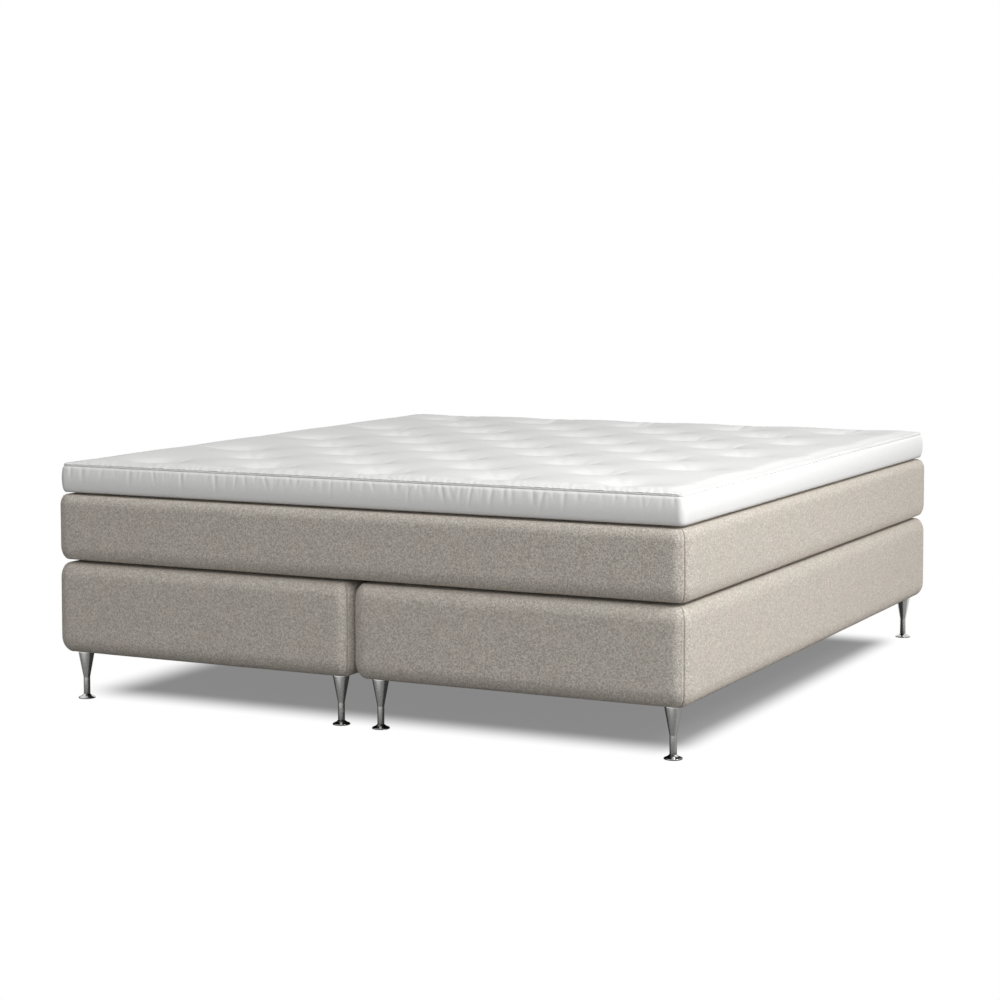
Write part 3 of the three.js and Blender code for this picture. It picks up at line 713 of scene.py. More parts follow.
# %% [markdown]
# ## The covers of the bases and the mattress
# Each cover is a shell of cloth on thin wadding, drawn tight over the box. It hangs open below, where a
# hem turns in under the frame. The four upright corner seams are the only seams that show: the cloth
# dives into the seam, and a soft lip of folded cloth stands beside it. The faces are almost flat, so
# the shell is modelled directly, with the corner points crowded together where the seam runs. First
# come the form of the seam and the heights of the rings.

# %% Seams and edges
SEAM_REACHES = np.array([0, 0.6, 1.2, 1.9, 2.7, 3.6, 4.6, 5.8, 7.5, 10, 14, 19, 25]) * MM
SEAM_ROOM = 2 * MM
SEAM_DEPTH = 2.2 * MM
SEAM_HALF_WIDTH = 1.3 * MM
LIP_HEIGHT = 0.7 * MM
LIP_PLACE = 4.2 * MM
LIP_HALF_WIDTH = 2.2 * MM
COVER_STEPS = (12, 16, 12)


def seam_turns(radius):
    """Shares of the corner's turn, close together near the seam in its middle."""
    arc = radius * math.pi / 2
    near = SEAM_REACHES[SEAM_REACHES < arc / 2 - SEAM_ROOM]
    half = np.append(near, arc / 2) / arc
    return np.concatenate([0.5 - half[::-1], 0.5 + half[1:]])


def edge_levels(box, steps=COVER_STEPS):
    """Heights and insets from the foot of a box to its top, in steps for foot, side and top."""
    foot_steps, side_steps, top_steps = steps
    angles = np.linspace(0, math.pi / 2, foot_steps + 1)
    levels = [(box.low + box.foot_rise * (1 - math.cos(a)), box.foot_depth * (1 - math.sin(a)))
              for a in angles]
    low, high = levels[-1][0], box.high - box.top_rise
    levels += [(low + (high - low) * step / side_steps, 0.0) for step in range(1, side_steps)]
    angles = np.linspace(0, math.pi / 2, top_steps + 1)
    levels += [(box.high - box.top_rise * (1 - math.sin(a)), box.top_depth * (1 - math.cos(a)))
               for a in angles]
    return levels


def seam_relief(arc):
    """How far the cloth stands out at a distance from the seam: a groove and a lip on either side."""
    groove = -SEAM_DEPTH * bell(arc, SEAM_HALF_WIDTH)
    lips = LIP_HEIGHT * bell(np.abs(arc) - LIP_PLACE, LIP_HALF_WIDTH)
    return groove + lips


print("the seam's groove is", round(-seam_relief(0.0) / MM, 2), "mm deep")

# %% [markdown]
# The padding is a little higher in the middle of each box than at its rim, so mattress and bases touch
# inside the rim and a dark line stays open between them. A slow unevenness of less than a millimetre
# keeps the long faces from looking like boards. A finished piece carries its finish from the start. It
# takes the place of its plain solid and moves with that solid's body, and one helper does those two.

# %% Covers
COVER_WALL = 8 * MM
CLOTH_THICKNESS = 2 * MM
HEM_WIDTH = 12 * MM
CORNER_RADIUS = 40 * MM
BASE_FOOT = (43 * MM, 32 * MM)
BASE_TOP = (46 * MM, 25 * MM)
MATTRESS_FOOT = (40 * MM, 21 * MM)
MATTRESS_TOP = (35 * MM, 19 * MM)
COVER_SPACING = 16 * MM
LINING_LEVELS = 9
RIM_REACH = 90 * MM
RIM_LIFT = 2 * MM
RIM_DROP = 6.5 * MM
PADDING_HILL = 170 * MM
PADDING_HEIGHT = 0.7 * MM


def dress(piece, node, body):
    """Hides the plain solid of a node that a piece stands in for, and sends the piece along with a body.
    """
    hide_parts(node)
    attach(piece, body)


def crowned(points, box, lift, drop):
    """Lifts the rim of the underside and drops the rim of the top, so two boxes touch inside the rim."""
    from_edge = way_in(box.half, points[:, :2] - box.middle)
    for sign, amount, rise, depth, level in ((1, lift, box.foot_rise, box.foot_depth, box.low),
                                             (-1, drop, box.top_rise, box.top_depth, box.high)):
        near = np.clip(1 - np.abs(points[:, 2] - level) / rise, 0, 1)
        inside = np.clip((from_edge - depth) / RIM_REACH, 0, 1)
        points[:, 2] += sign * amount * near * (1 - eased(inside))
    return points


def cover_shell(name, box, seed, lift, drop):
    """A closed shell: inside from the ceiling down, round the hem, and up the outside."""
    stations = Stations(box, COVER_SPACING, seam_turns(box.corner))
    ceiling, floor = box.high - COVER_WALL, box.low + CLOTH_THICKNESS
    levels = [(z, COVER_WALL + box.inset_at(z)) for z in np.linspace(ceiling, floor, LINING_LEVELS)]
    hem = box.foot_depth + HEM_WIDTH
    levels += [(floor, hem), (box.low, hem), (box.low, box.foot_depth + HEM_WIDTH / 2)]
    outside = len(levels)
    levels += edge_levels(box)
    rings = [stations.ring(inset, z) for z, inset in levels]
    piece = mesh_object(name, *skin(rings, stations.corners), cloth)
    count = len(stations.places)
    relief = np.zeros(len(piece.data.vertices))
    seam = seam_relief(stations.arcs)
    for level in range(outside, len(levels)):
        relief[level * count:(level + 1) * count] += seam
    points = points_of(piece)
    outer = slice(outside * count, len(levels) * count)
    relief[outer] += PADDING_HEIGHT * unevenness(points[outer], PADDING_HILL, seed)
    push(piece, relief)
    move_points(piece, crowned(points_of(piece), box, lift, drop))
    return piece


def cover_box(node, foot, top):
    """The rounded box of a cover, from the size of its node."""
    low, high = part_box(node)
    return Box(low, high, CORNER_RADIUS, foot, top)


for number, (node, body, foot, top, lift) in enumerate([
        ("left_base_cover", "bases", BASE_FOOT, BASE_TOP, 0.0),
        ("right_base_cover", "bases", BASE_FOOT, BASE_TOP, 0.0),
        ("mattress_cover", "mattress", MATTRESS_FOOT, MATTRESS_TOP, RIM_LIFT)]):
    cover = cover_shell(node + "_cloth", cover_box(node, foot, top), number + 1, lift, RIM_DROP)
    dress(cover, node, body)
    print(cover.name, len(cover.data.polygons), "quads")

# %% [markdown]
# ## The cloth under the bases, the mattress and the topper
# Thin felt closes the underside of each base inside the hem, and the mattress and the topper have a
# bottom panel. Each is one flat sheet drawn tight, so it is a thin slab with a little slack between its
# fixings.

# %% Bottom sheets
SHEET_SPACING = 30 * MM
SHEET_STEPS = (2, 1, 2)
SHEET_CORNER_STEPS = 4
SHEET_EDGE = (0.6 * MM, 0.6 * MM)
SHEET_HOLD = 60 * MM
SHEET_HILL = 120 * MM
SHEET_SLACK = 0.6 * MM
SHEET_BULGE = 0.2
DUST_COVER_CORNER = 4 * MM
MATTRESS_PANEL_CORNER = 7 * MM


def bottom_sheet(node, body, material, corner, seed, lift=0.0):
    """A tight sheet of the size of its node, closed, with slow waves between its fixings."""
    low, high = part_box(node)
    box = Box(low, high, corner, SHEET_EDGE, SHEET_EDGE)
    stations = Stations(box, SHEET_SPACING, even_corner(SHEET_CORNER_STEPS))
    rings = [stations.ring(inset, z) for z, inset in edge_levels(box, SHEET_STEPS)]
    sheet = mesh_object(node + "_sheet", *skin(rings, stations.corners), material)
    points = points_of(sheet)
    from_edge = way_in(box.half, points[:, :2] - box.middle)
    waves = unevenness(points * (1, 1, 0), SHEET_HILL, seed) + SHEET_BULGE
    points[:, 2] += SHEET_SLACK * np.clip(from_edge / SHEET_HOLD, 0, 1) * waves
    points[:, 2] += lift * eased(np.clip(1 - from_edge / RIM_REACH, 0, 1))
    move_points(sheet, points)
    dress(sheet, node, body)


for seed, side in ((4, "left"), (5, "right")):
    bottom_sheet(side + "_dust_cover", "bases", dust_felt, DUST_COVER_CORNER,
                 seed)
bottom_sheet("mattress_bottom_panel", "mattress", dust_felt, MATTRESS_PANEL_CORNER,
             6, RIM_LIFT / 2)

# %% [markdown]
# ## The topper's side band
# The band is a strip of ticking cut longer than the topper is round, and gathered as it is sewn to the
# piping. The extra cloth shows as short creases that hang from the seam and fade out half way down.
# They stand at uneven distances, lean a little, and have a sharper and a softer side. Between them the
# cloth puffs out. Each crease is drawn from a seeded random generator, so the band is irregular but
# always the same. Right at the seam the stitches hold the cloth even, so the creases start just below.

# %% Side band
TOPPER_CORNER = 20 * MM
TOPPER_EDGE = (1 * MM, 1 * MM)
BAND_SPACING = 3 * MM
BAND_ROWS = 20
BAND_FINE_ROWS = 3
BAND_WALL = 1 * MM
BAND_FOOT_DEPTH = 7 * MM
BAND_SEAM_DEPTH = 3 * MM
BAND_SHOULDER = 4.5 * MM
BAND_FOOT_SHARE = 0.14
BAND_BELLY_SHARE = 0.5
PIPING_RADIUS = 2.2 * MM
PIPING_SINK = 3 * MM
BAND_LOWER_DEPTH = 5 * MM
BAND_TURN_SHARE = 0.11
BAND_TURN_DEPTH = 4 * MM
CREASE_GAP = (9 * MM, 38 * MM)
CREASE_DEPTH = (0.4 * MM, 1.6 * MM)
CREASE_LENGTH = (12 * MM, 38 * MM)
CREASE_LEAN = 0.16
CREASE_WIDTH = (2.2 * MM, 4.2 * MM)
CREASE_SOFT_SIDE = 1.6
PUFF_SHARE = 0.35
PUFF_PLACE = 3
PUFF_WIDTH = 2
SEAM_CALM = 0.6
SEAM_CALM_REACH = 6 * MM
BAND_SEED = 11

band_low, band_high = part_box("topper_side_band")
seam_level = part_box("topper_piping")[1].z - PIPING_RADIUS
topper_box = Box(band_low, band_high, TOPPER_CORNER, TOPPER_EDGE, TOPPER_EDGE)


def band_inset(share):
    """How far the band is drawn in at a share of its height: rounded foot, belly, waist at the seam."""
    belly = BAND_BELLY_SHARE
    if share > belly:
        turn = max((share - 1) / BAND_TURN_SHARE + 1, 0)
        inset = BAND_SHOULDER * ((share - belly) / (1 - belly)) ** 2
        return inset + BAND_TURN_DEPTH * (1 - math.sqrt(1 - turn ** 2))
    inset = BAND_LOWER_DEPTH * (1 - share / belly) ** 2
    turn = max(1 - share / BAND_FOOT_SHARE, 0)
    return inset + (BAND_FOOT_DEPTH - BAND_LOWER_DEPTH) * (1 - math.sqrt(1 - turn ** 2))


def creases(around):
    """Creases at uneven steps along the seam: place, depth, length, lean and width of each."""
    draw = np.random.default_rng(BAND_SEED)
    found = []
    at = draw.uniform(0, CREASE_GAP[1])
    while at < around:
        found.append((at, draw.uniform(*CREASE_DEPTH), draw.uniform(*CREASE_LENGTH),
                      draw.normal(0, CREASE_LEAN), draw.uniform(*CREASE_WIDTH)))
        at += draw.uniform(*CREASE_GAP)
    return found


def calm(way):
    """What is left of a fold at a distance from the seam, where the stitches hold the cloth even."""
    return 1 - SEAM_CALM * bell(way, SEAM_CALM_REACH)


def band_relief(along, drop, around):
    """The creases' relief at places along the seam and distances below it. Inwards is negative."""
    relief = np.zeros_like(along)
    for at, depth, length, lean, width in creases(around):
        off = along - at - lean * drop
        off = (off + around / 2) % around - around / 2
        fade = bell(drop, length)
        relief -= depth * fade * bell(off, np.where(off > 0, width, CREASE_SOFT_SIDE * width))
        puff = bell(np.abs(off) - PUFF_PLACE * width, PUFF_WIDTH * width)
        relief += PUFF_SHARE * depth * fade * puff
    return relief * calm(drop)


def side_band():
    stations = Stations(topper_box, BAND_SPACING)
    edge = stations.ring(0, 0)
    steps = np.linalg.norm(np.roll(edge, -1, axis=0) - edge, axis=1)
    along = np.concatenate([[0], np.cumsum(steps)[:-1]])
    around = steps.sum()
    height = band_high.z - band_low.z
    even = np.linspace(0, 1, BAND_ROWS + 1)
    close = even[::BAND_FINE_ROWS] ** 2
    shares = [even, BAND_FOOT_SHARE * close, 1 - BAND_TURN_SHARE * close]
    shares = np.unique(np.concatenate(shares).round(4))
    rings = []
    for share in shares:
        drop = np.full_like(along, (1 - share) * height)
        inset = band_inset(share) - band_relief(along, drop, around)
        lift = RIM_LIFT * max(1 - share / BAND_FOOT_SHARE, 0)
        rings.append(stations.ring(inset, band_low.z + lift + share * height))
    back = BAND_SEAM_DEPTH + BAND_TURN_DEPTH + BAND_WALL
    rings += [stations.ring(back, z) for z in (band_low.z + height, band_low.z)]
    band = mesh_object("topper_gathered_band", *skin(rings, stations.corners, closed=True), ticking)
    dress(band, "topper_side_band", "topper")
    print(band.name, len(creases(around)), "creases round", round(around, 2), "m")


side_band()

# %% [markdown]
# ## The tufted top panel
# The top of the topper is a quilt: cloth over soft foam, held down by 41 tufts in rows of five and
# four. The tufts pull it into cushions with soft valleys from tuft to tuft, and cloth does that best by
# itself. So the panel starts as a low shape with cone-like dips, its rim and its tufts are held, and the
# cloth simulation lets air pressure swell the rest.

# %% Swelling cloth
SWELL_PRESSURE = 4.0
SWELL_QUALITY = 5
SWELL_FRAMES = 20
LEAST_MOVE = 1e-9


def swell(piece, held, slack, most):
    """Lets cloth swell under air pressure where it isn't held, by most at most, and keeps the shape."""
    before = points_of(piece)
    group = piece.vertex_groups.new(name="held")
    group.add(np.flatnonzero(held).tolist(), 1.0, "REPLACE")
    modifier = piece.modifiers.new("swell", "CLOTH")
    modifier.settings.quality = SWELL_QUALITY
    modifier.settings.vertex_group_mass = "held"
    modifier.settings.use_pressure = True
    modifier.settings.uniform_pressure_force = SWELL_PRESSURE
    modifier.settings.shrink_min = -slack
    modifier.settings.effector_weights.gravity = 0
    modifier.point_cache.frame_start = 1
    modifier.point_cache.frame_end = SWELL_FRAMES
    for frame in range(1, SWELL_FRAMES + 1):
        bpy.context.scene.frame_set(frame)
    swollen = piece.evaluated_get(bpy.context.evaluated_depsgraph_get()).to_mesh()
    after = np.empty(before.size)
    swollen.vertices.foreach_get("co", after)
    moves = after.reshape(-1, 3) - before
    piece.modifiers.remove(modifier)
    piece.vertex_groups.remove(group)
    length = np.linalg.norm(moves, axis=1)
    moves *= (np.minimum(length, most) / np.maximum(length, LEAST_MOVE))[:, None]
    move_points(piece, before + moves)
    bpy.context.scene.frame_set(1)
    return length


def subdivided(piece):
    """Replaces the mesh by its once subdivided surface."""
    modifier = piece.modifiers.new("finer", "SUBSURF")
    modifier.levels = 1
    modifier.boundary_smooth = "PRESERVE_CORNERS"
    finer = bpy.data.meshes.new_from_object(piece.evaluated_get(bpy.context.evaluated_depsgraph_get()))
    piece.modifiers.remove(modifier)
    coarse = piece.data
    finer.name = coarse.name
    piece.data = finer
    bpy.data.meshes.remove(coarse)
    finer.shade_smooth()


def close_foot(piece):
    """Closes the open underside of a piece with one flat face."""
    shape = bmesh.new()
    shape.from_mesh(piece.data)
    rim = [edge for edge in shape.edges if edge.is_boundary]
    bmesh.ops.edgeloop_fill(shape, edges=rim)
    bmesh.ops.recalc_face_normals(shape, faces=shape.faces)
    shape.to_mesh(piece.data)
    shape.free()


print("cloth may swell for", SWELL_FRAMES, "frames")

# %% [markdown]
# The pattern of the tufts comes from the size of the topper and two margins. Each tuft pulls a cone
# into the cloth, narrower along the bed than across it, and where two cones meet they blend. Close to
# the seam the gathered edge throws fine slanting puckers on to the panel, drawn like the band's creases.

# %% Tufts and puckers
TUFT_ROWS = 9
TUFT_COLUMNS = 5
TUFT_SIDE_MARGIN = 212 * MM
TUFT_END_MARGIN = 164 * MM
CROWN = 10 * MM
CROWN_REACH = 60 * MM
TUFT_DIP = 25 * MM
TUFT_REACH = 75 * MM
TUFT_NARROW = 1.35
TUFT_BLEND = 3
PANEL_ROLL = [(-4 * MM, 2.6 * MM), (1.4 * MM, 2.2 * MM), (2.5 * MM, 0.6 * MM), (2.9 * MM, -1.2 * MM),
              (3.7 * MM, -1.8 * MM), (4.7 * MM, -1.2 * MM), (5.4 * MM, 0.4 * MM), (6 * MM, 3 * MM)]
PUCKER_SEED = 5
PUCKER_GAP = (12 * MM, 24 * MM)
PUCKER_DEPTH = (0.7 * MM, 2.0 * MM)
PUCKER_WIDTH = 4.2 * MM
PUCKER_FADE = 50 * MM
PUCKER_FADES = (0.5, 1.3)
PUCKER_REACH = 3 * PUCKER_FADE
PUCKER_LEAN = -0.4
PUCKER_LEAN_SPREAD = 0.15

topper_half = topper_box.half
tuft_pitch_x = 2 * (topper_half[0] - TUFT_SIDE_MARGIN) / (TUFT_COLUMNS - 1)
tuft_pitch_y = 2 * (topper_half[1] - TUFT_END_MARGIN) / (TUFT_ROWS - 1)
tufts = np.array([((column - (TUFT_COLUMNS - row % 2 - 1) / 2) * tuft_pitch_x,
                   (row - (TUFT_ROWS - 1) / 2) * tuft_pitch_y)
                  for row in range(TUFT_ROWS) for column in range(TUFT_COLUMNS - row % 2)])


def panel_height(points):
    """The height of the quilt over the seam at rows of x and y, and the way to the nearest tuft."""
    from_edge = way_in(topper_half, points)
    rise = np.clip(from_edge / CROWN_REACH, 0, 1)
    ways = np.array([np.linalg.norm((points - tuft) * (1, TUFT_NARROW), axis=1) for tuft in tufts])
    dip = TUFT_DIP * np.exp(-TUFT_BLEND * ways / TUFT_REACH).sum(axis=0) ** (1 / TUFT_BLEND)
    away = ways.min(axis=0)
    return (CROWN - PANEL_ROLL[-1][0]) * (1 - (1 - rise) ** 2) - dip, away, from_edge


def puckers(points):
    """The relief of slanting puckers along the seam of the panel, at rows of x and y."""
    draw = np.random.default_rng(PUCKER_SEED)
    relief = np.zeros(len(points))
    for axis, sign in ((0, -1), (1, 1), (0, 1), (1, -1)):
        along = points[:, axis]
        inwards = topper_half[1 - axis] - sign * points[:, 1 - axis]
        near = np.flatnonzero(inwards < PUCKER_REACH)
        at = -topper_half[axis]
        while at < topper_half[axis]:
            depth = draw.uniform(*PUCKER_DEPTH)
            fade = draw.uniform(*PUCKER_FADES) * PUCKER_FADE
            lean = draw.normal(PUCKER_LEAN, PUCKER_LEAN_SPREAD)
            off = along[near] - at - lean * sign * -inwards[near]
            relief[near] -= depth * np.exp(-((off / PUCKER_WIDTH) ** 2) - (inwards[near] / fade) ** 2)
            at += draw.uniform(*PUCKER_GAP)
    return relief * calm(np.maximum(way_in(topper_half, points), 0))


print("tufts:", len(tufts), "at", round(tuft_pitch_x / MM), "by", round(tuft_pitch_y / MM), "mm")

# %% [markdown]
# The panel itself is a few rings that roll over the piping, closed by one large cap. Its rim and the
# bottom of each tuft are held while it swells. Subdivision then smooths it, and the puckers come last,
# because the simulation would iron them out.

# %% Top panel
PANEL_CORNER = TOPPER_CORNER - 7 * MM
PANEL_CORNER_STEPS = 6
PANEL_FOOT = 1.5 * MM
PANEL_SPACING = 9 * MM
PANEL_SLACK = 0.005
PANEL_SWELL = 4 * MM
TUFT_HOLD = 10 * MM
RIM_HOLD = 30 * MM
HAIR = 0.1 * MM


def top_panel():
    low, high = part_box("topper_top_panel")
    box = Box(low, high, PANEL_CORNER, TOPPER_EDGE, TOPPER_EDGE)
    stations = Stations(box, PANEL_SPACING, even_corner(PANEL_CORNER_STEPS))
    levels = [(low.z, PANEL_FOOT), (low.z + PANEL_FOOT, 0)]
    levels += [(seam_level + rise, inset) for rise, inset in PANEL_ROLL]
    rings = [stations.ring(inset, z) for z, inset in levels]
    panel = mesh_object("topper_quilted_panel", *skin(rings, stations.corners, foot=False), ticking)
    points = points_of(panel)
    top = points[:, 2] > seam_level + PANEL_ROLL[-1][0] - HAIR
    height, away, from_edge = panel_height(points[:, :2])
    points[top, 2] += height[top]
    move_points(panel, points)
    held = ~top | (away < TUFT_HOLD) | (from_edge < RIM_HOLD)
    held[:len(levels) * len(stations.places)] = True
    moved = swell(panel, held, PANEL_SLACK, PANEL_SWELL) / MM
    print("swollen by", round(moved.max(), 1), "mm at most,", round(moved.mean(), 1), "on average")
    subdivided(panel)
    close_foot(panel)
    points = points_of(panel)
    top = points[:, 2] > seam_level + PANEL_ROLL[1][0]
    points[top, 2] += puckers(points[top, :2])
    move_points(panel, points)
    dress(panel, "topper_top_panel", "topper")
    print(panel.name, len(panel.data.polygons), "quads,", len(tufts), "tufts")
    return panel


panel = top_panel()

# %% [markdown]
# ## Things that follow a path
# A cord covered in ticking closes the seam between the band and the quilt. It follows a path, so
# Geometry Nodes sweep a small circle along it. The helpers here serve every node group on this bed:
# they open and close a group, run it on loose lines or points, and keep the result as a plain mesh.


# %% Node groups
def node_tree(name, inputs):
    """A geometry node group with named inputs, each given as name, socket kind and default."""
    tree = bpy.data.node_groups.new(name, "GeometryNodeTree")
    tree.interface.new_socket("Geometry", in_out="INPUT", socket_type="NodeSocketGeometry")
    for title, kind, value in inputs:
        socket = tree.interface.new_socket(title, in_out="INPUT", socket_type=kind)
        if value is not None:
            socket.default_value = value
    tree.interface.new_socket("Geometry", in_out="OUTPUT", socket_type="NodeSocketGeometry")
    return tree


def finish_tree(tree, geometry, material):
    """Ends a group: real copies instead of instances, and the finish."""
    real = add_node(tree, "GeometryNodeRealizeInstances", links={0: geometry})
    dressed = add_node(tree, "GeometryNodeSetMaterial", links={0: real.outputs[0]},
                       values={"Material": material})
    smooth = add_node(tree, "GeometryNodeSetShadeSmooth", links={0: dressed.outputs[0]})
    add_node(tree, "NodeGroupOutput", links={0: smooth.outputs[0]})


def grow(name, carrier, tree, values):
    """Runs a node group on an object and gives back the result as a plain mesh object."""
    bpy.context.scene.collection.objects.link(carrier)
    modifier = carrier.modifiers.new("grow", "NODES")
    modifier.node_group = tree
    sockets = {item.name: item.identifier for item in tree.interface.items_tree
               if item.in_out == "INPUT"}
    for title, value in values.items():
        modifier[sockets[title]] = value
    bpy.context.view_layer.update()
    evaluated = carrier.evaluated_get(bpy.context.evaluated_depsgraph_get())
    mesh = bpy.data.meshes.new_from_object(evaluated)
    mesh.name = name
    carrier.modifiers.remove(modifier)
    bpy.data.objects.remove(carrier)
    return add_object(name, mesh)


def path_object(lines, closed=False):
    """Loose lines of points, as a mesh that a node group can turn into curves."""
    mesh = bpy.data.meshes.new("path")
    points, edges = [], []
    for line in lines:
        first, count = len(points), len(line)
        points += [tuple(p) for p in line]
        edges += [(first + step, first + (step + 1) % count) for step in range(count - (not closed))]
    mesh.from_pydata(points, edges, [])
    return bpy.data.objects.new("path", mesh)


print("node groups before the first cord:", len(bpy.data.node_groups))

# %% [markdown]
# The piping is one ring at the height of the seam, sunk behind the edge of the band so that only its
# outer half shows, as a fine round line.

# %% Piping
PIPING_SIDES = 12
PIPING_SPACING = 20 * MM
PIPING_CORNER_STEPS = 8


def sweep_tree(material):
    """A round cord along a path."""
    tree = node_tree("cord_along_path", [("Radius", "NodeSocketFloat", PIPING_RADIUS),
                                         ("Sides", "NodeSocketInt", PIPING_SIDES)])
    start = add_node(tree, "NodeGroupInput")
    line = add_node(tree, "GeometryNodeMeshToCurve", links={0: start.outputs["Geometry"]})
    circle = add_node(tree, "GeometryNodeCurvePrimitiveCircle",
                      links={"Radius": start.outputs["Radius"], "Resolution": start.outputs["Sides"]})
    tube = add_node(tree, "GeometryNodeCurveToMesh",
                    links={"Curve": line.outputs[0], "Profile Curve": circle.outputs[0]},
                    values={"Fill Caps": True})
    finish_tree(tree, tube.outputs[0], material)
    return tree


def piping():
    stations = Stations(topper_box, PIPING_SPACING, even_corner(PIPING_CORNER_STEPS))
    path = stations.ring(BAND_SEAM_DEPTH + PIPING_SINK + PIPING_RADIUS, seam_level)
    cord = grow("topper_piping_cord", path_object([path], closed=True), sweep_tree(ticking),
                {"Radius": PIPING_RADIUS, "Sides": PIPING_SIDES})
    dress(cord, "topper_piping", "topper")
    print(cord.name, len(cord.data.polygons), "quads")


piping()

# %% [markdown]
# ## Core and bottom of the topper
# Inside the topper is one slab of foam, cut square with its edges eased by the blade. Below it the
# cover is closed by a plain sheet of ticking, drawn tight like the sheets under the bases.

# %% Core and bottom of the topper
CORE_CORNER = 13 * MM
CORE_SPACING = 40 * MM
CORE_EDGE = (3 * MM, 3 * MM)
CORE_STEPS = (3, 2, 3)


def topper_core():
    low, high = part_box("topper_core")
    box = Box(low, high, CORE_CORNER, CORE_EDGE, CORE_EDGE)
    stations = Stations(box, CORE_SPACING)
    rings = [stations.ring(inset, z) for z, inset in edge_levels(box, CORE_STEPS)]
    core = mesh_object("topper_foam_core", *skin(rings, stations.corners), foam)
    dress(core, "topper_core", "topper")
    print(core.name, len(core.data.polygons), "quads")


topper_core()
bottom_sheet("topper_bottom_panel", "topper", ticking, CORE_CORNER, 7,
             RIM_LIFT)

# %% [markdown]
# ## Legs and glides
# Each leg is one turned piece of steel: a cone under the bed that runs into a thin shaft, with a
# threaded stud on top. The glide in its end is a separate polished piece with a flared foot, and it
# screws in and out to level the bed. Both are outlines turned round an axis, with small round fillets
# at every edge, because an edge without one never catches the light. A lathe works the same way.

# %% Turning
TURNED_STEPS = 48
FILLET_STEPS = 4
FILLET_ROOM = 0.45


def filleted(outline, radii, steps=FILLET_STEPS):
    """An outline of radius and height points, each inner corner rounded by its own radius."""
    points = [np.array(outline[0])]
    for index in range(1, len(outline) - 1):
        before, here, after = (np.array(outline[index + k]) for k in (-1, 0, 1))
        to_before = (before - here) / np.linalg.norm(before - here)
        to_after = (after - here) / np.linalg.norm(after - here)
        half = math.acos(np.clip(to_before @ to_after, -1, 1)) / 2
        room = FILLET_ROOM * min(np.linalg.norm(before - here), np.linalg.norm(after - here))
        cut = min(radii[index] / math.tan(half), room)
        first, last = here + to_before * cut, here + to_after * cut
        for share in np.linspace(0, 1, steps + 1):
            points.append((1 - share) ** 2 * first + 2 * share * (1 - share) * here + share ** 2 * last)
    points.append(np.array(outline[-1]))
    return np.array(points)


def turned(name, outline, x, y, material, steps=TURNED_STEPS):
    """Turns an outline that starts and ends on the axis, bottom first, into a closed round piece."""
    angles = 2 * math.pi * np.arange(steps) / steps
    middle = outline[1:-1]
    points = [(x, y, outline[0][1]), (x, y, outline[-1][1])]
    for radius, z in middle:
        points += [(x + radius * math.cos(a), y + radius * math.sin(a), z) for a in angles]
    rings = [2 + steps * level + np.arange(steps) for level in range(len(middle))]
    faces = np.concatenate([band_quads(low, high) for low, high in zip(rings, rings[1:])]).tolist()
    faces += [(0, int(b), int(a)) for a, b in zip(rings[0], np.roll(rings[0], -1))]
    faces += [(1, int(a), int(b)) for a, b in zip(rings[-1], np.roll(rings[-1], -1))]
    mesh = bpy.data.meshes.new(name)
    mesh.from_pydata(points, [], faces)
    mesh.materials.append(material)
    mesh.shade_smooth()
    return add_object(name, mesh)


print("turned pieces have", TURNED_STEPS, "sides")

# %% [markdown]
# The outlines follow the photograph: the cone takes up a little over half of the leg, runs into the
# shaft in one long curve, and the glide flares out again right above the floor.

# %% Legs and glides
SEAT_GAP = 0.3 * MM
LEG_TOP_RADIUS = 21.5 * MM
LEG_COLLAR = 3 * MM
SHAFT_RADIUS = 8.8 * MM
SHAFT_TOP = 57 * MM
SHAFT_BOTTOM = 12 * MM
STUD_RADIUS = 5 * MM
GLIDE_RADIUS = 22.5 * MM
GLIDE_RIM = 3.2 * MM
GLIDE_WAIST_RADIUS = 13.5 * MM
GLIDE_WAIST_HEIGHT = 7.2 * MM
SPINDLE_RADIUS = 4 * MM
SPINDLE_LENGTH = 32 * MM
BORE_RADIUS = 4.4 * MM
LEG_FILLETS = np.array([0, 0.2, 0.2, 0.5, 25, 1.5, 0.6, 0.3, 0.8, 0]) * MM
GLIDE_FILLETS = np.array([0, 0.8, 1.2, 7, 0.4, 0.2, 0.4, 0]) * MM
GLIDE_FILLET_STEPS = 5


def leg_outline(top, stud_top):
    """From the top of the bore, down its wall, round the shaft's end, up the cone and over the stud."""
    bore_top = SHAFT_BOTTOM + SPINDLE_LENGTH + SEAT_GAP
    outline = [(0, bore_top), (BORE_RADIUS, bore_top), (BORE_RADIUS, SHAFT_BOTTOM),
               (SHAFT_RADIUS, SHAFT_BOTTOM), (SHAFT_RADIUS, SHAFT_TOP), (LEG_TOP_RADIUS, top - LEG_COLLAR),
               (LEG_TOP_RADIUS, top), (STUD_RADIUS, top), (STUD_RADIUS, stud_top), (0, stud_top)]
    return filleted(outline, LEG_FILLETS)


def glide_outline():
    """A flat face to the floor, a rounded rim, a hollow flare up to the shaft, and the spindle."""
    neck = SHAFT_BOTTOM - SEAT_GAP
    outline = [(0, 0), (GLIDE_RADIUS, 0), (GLIDE_RADIUS, GLIDE_RIM),
               (GLIDE_WAIST_RADIUS, GLIDE_WAIST_HEIGHT), (SHAFT_RADIUS, neck), (SPINDLE_RADIUS, neck),
               (SPINDLE_RADIUS, neck + SPINDLE_LENGTH), (0, neck + SPINDLE_LENGTH)]
    return filleted(outline, GLIDE_FILLETS, GLIDE_FILLET_STEPS)


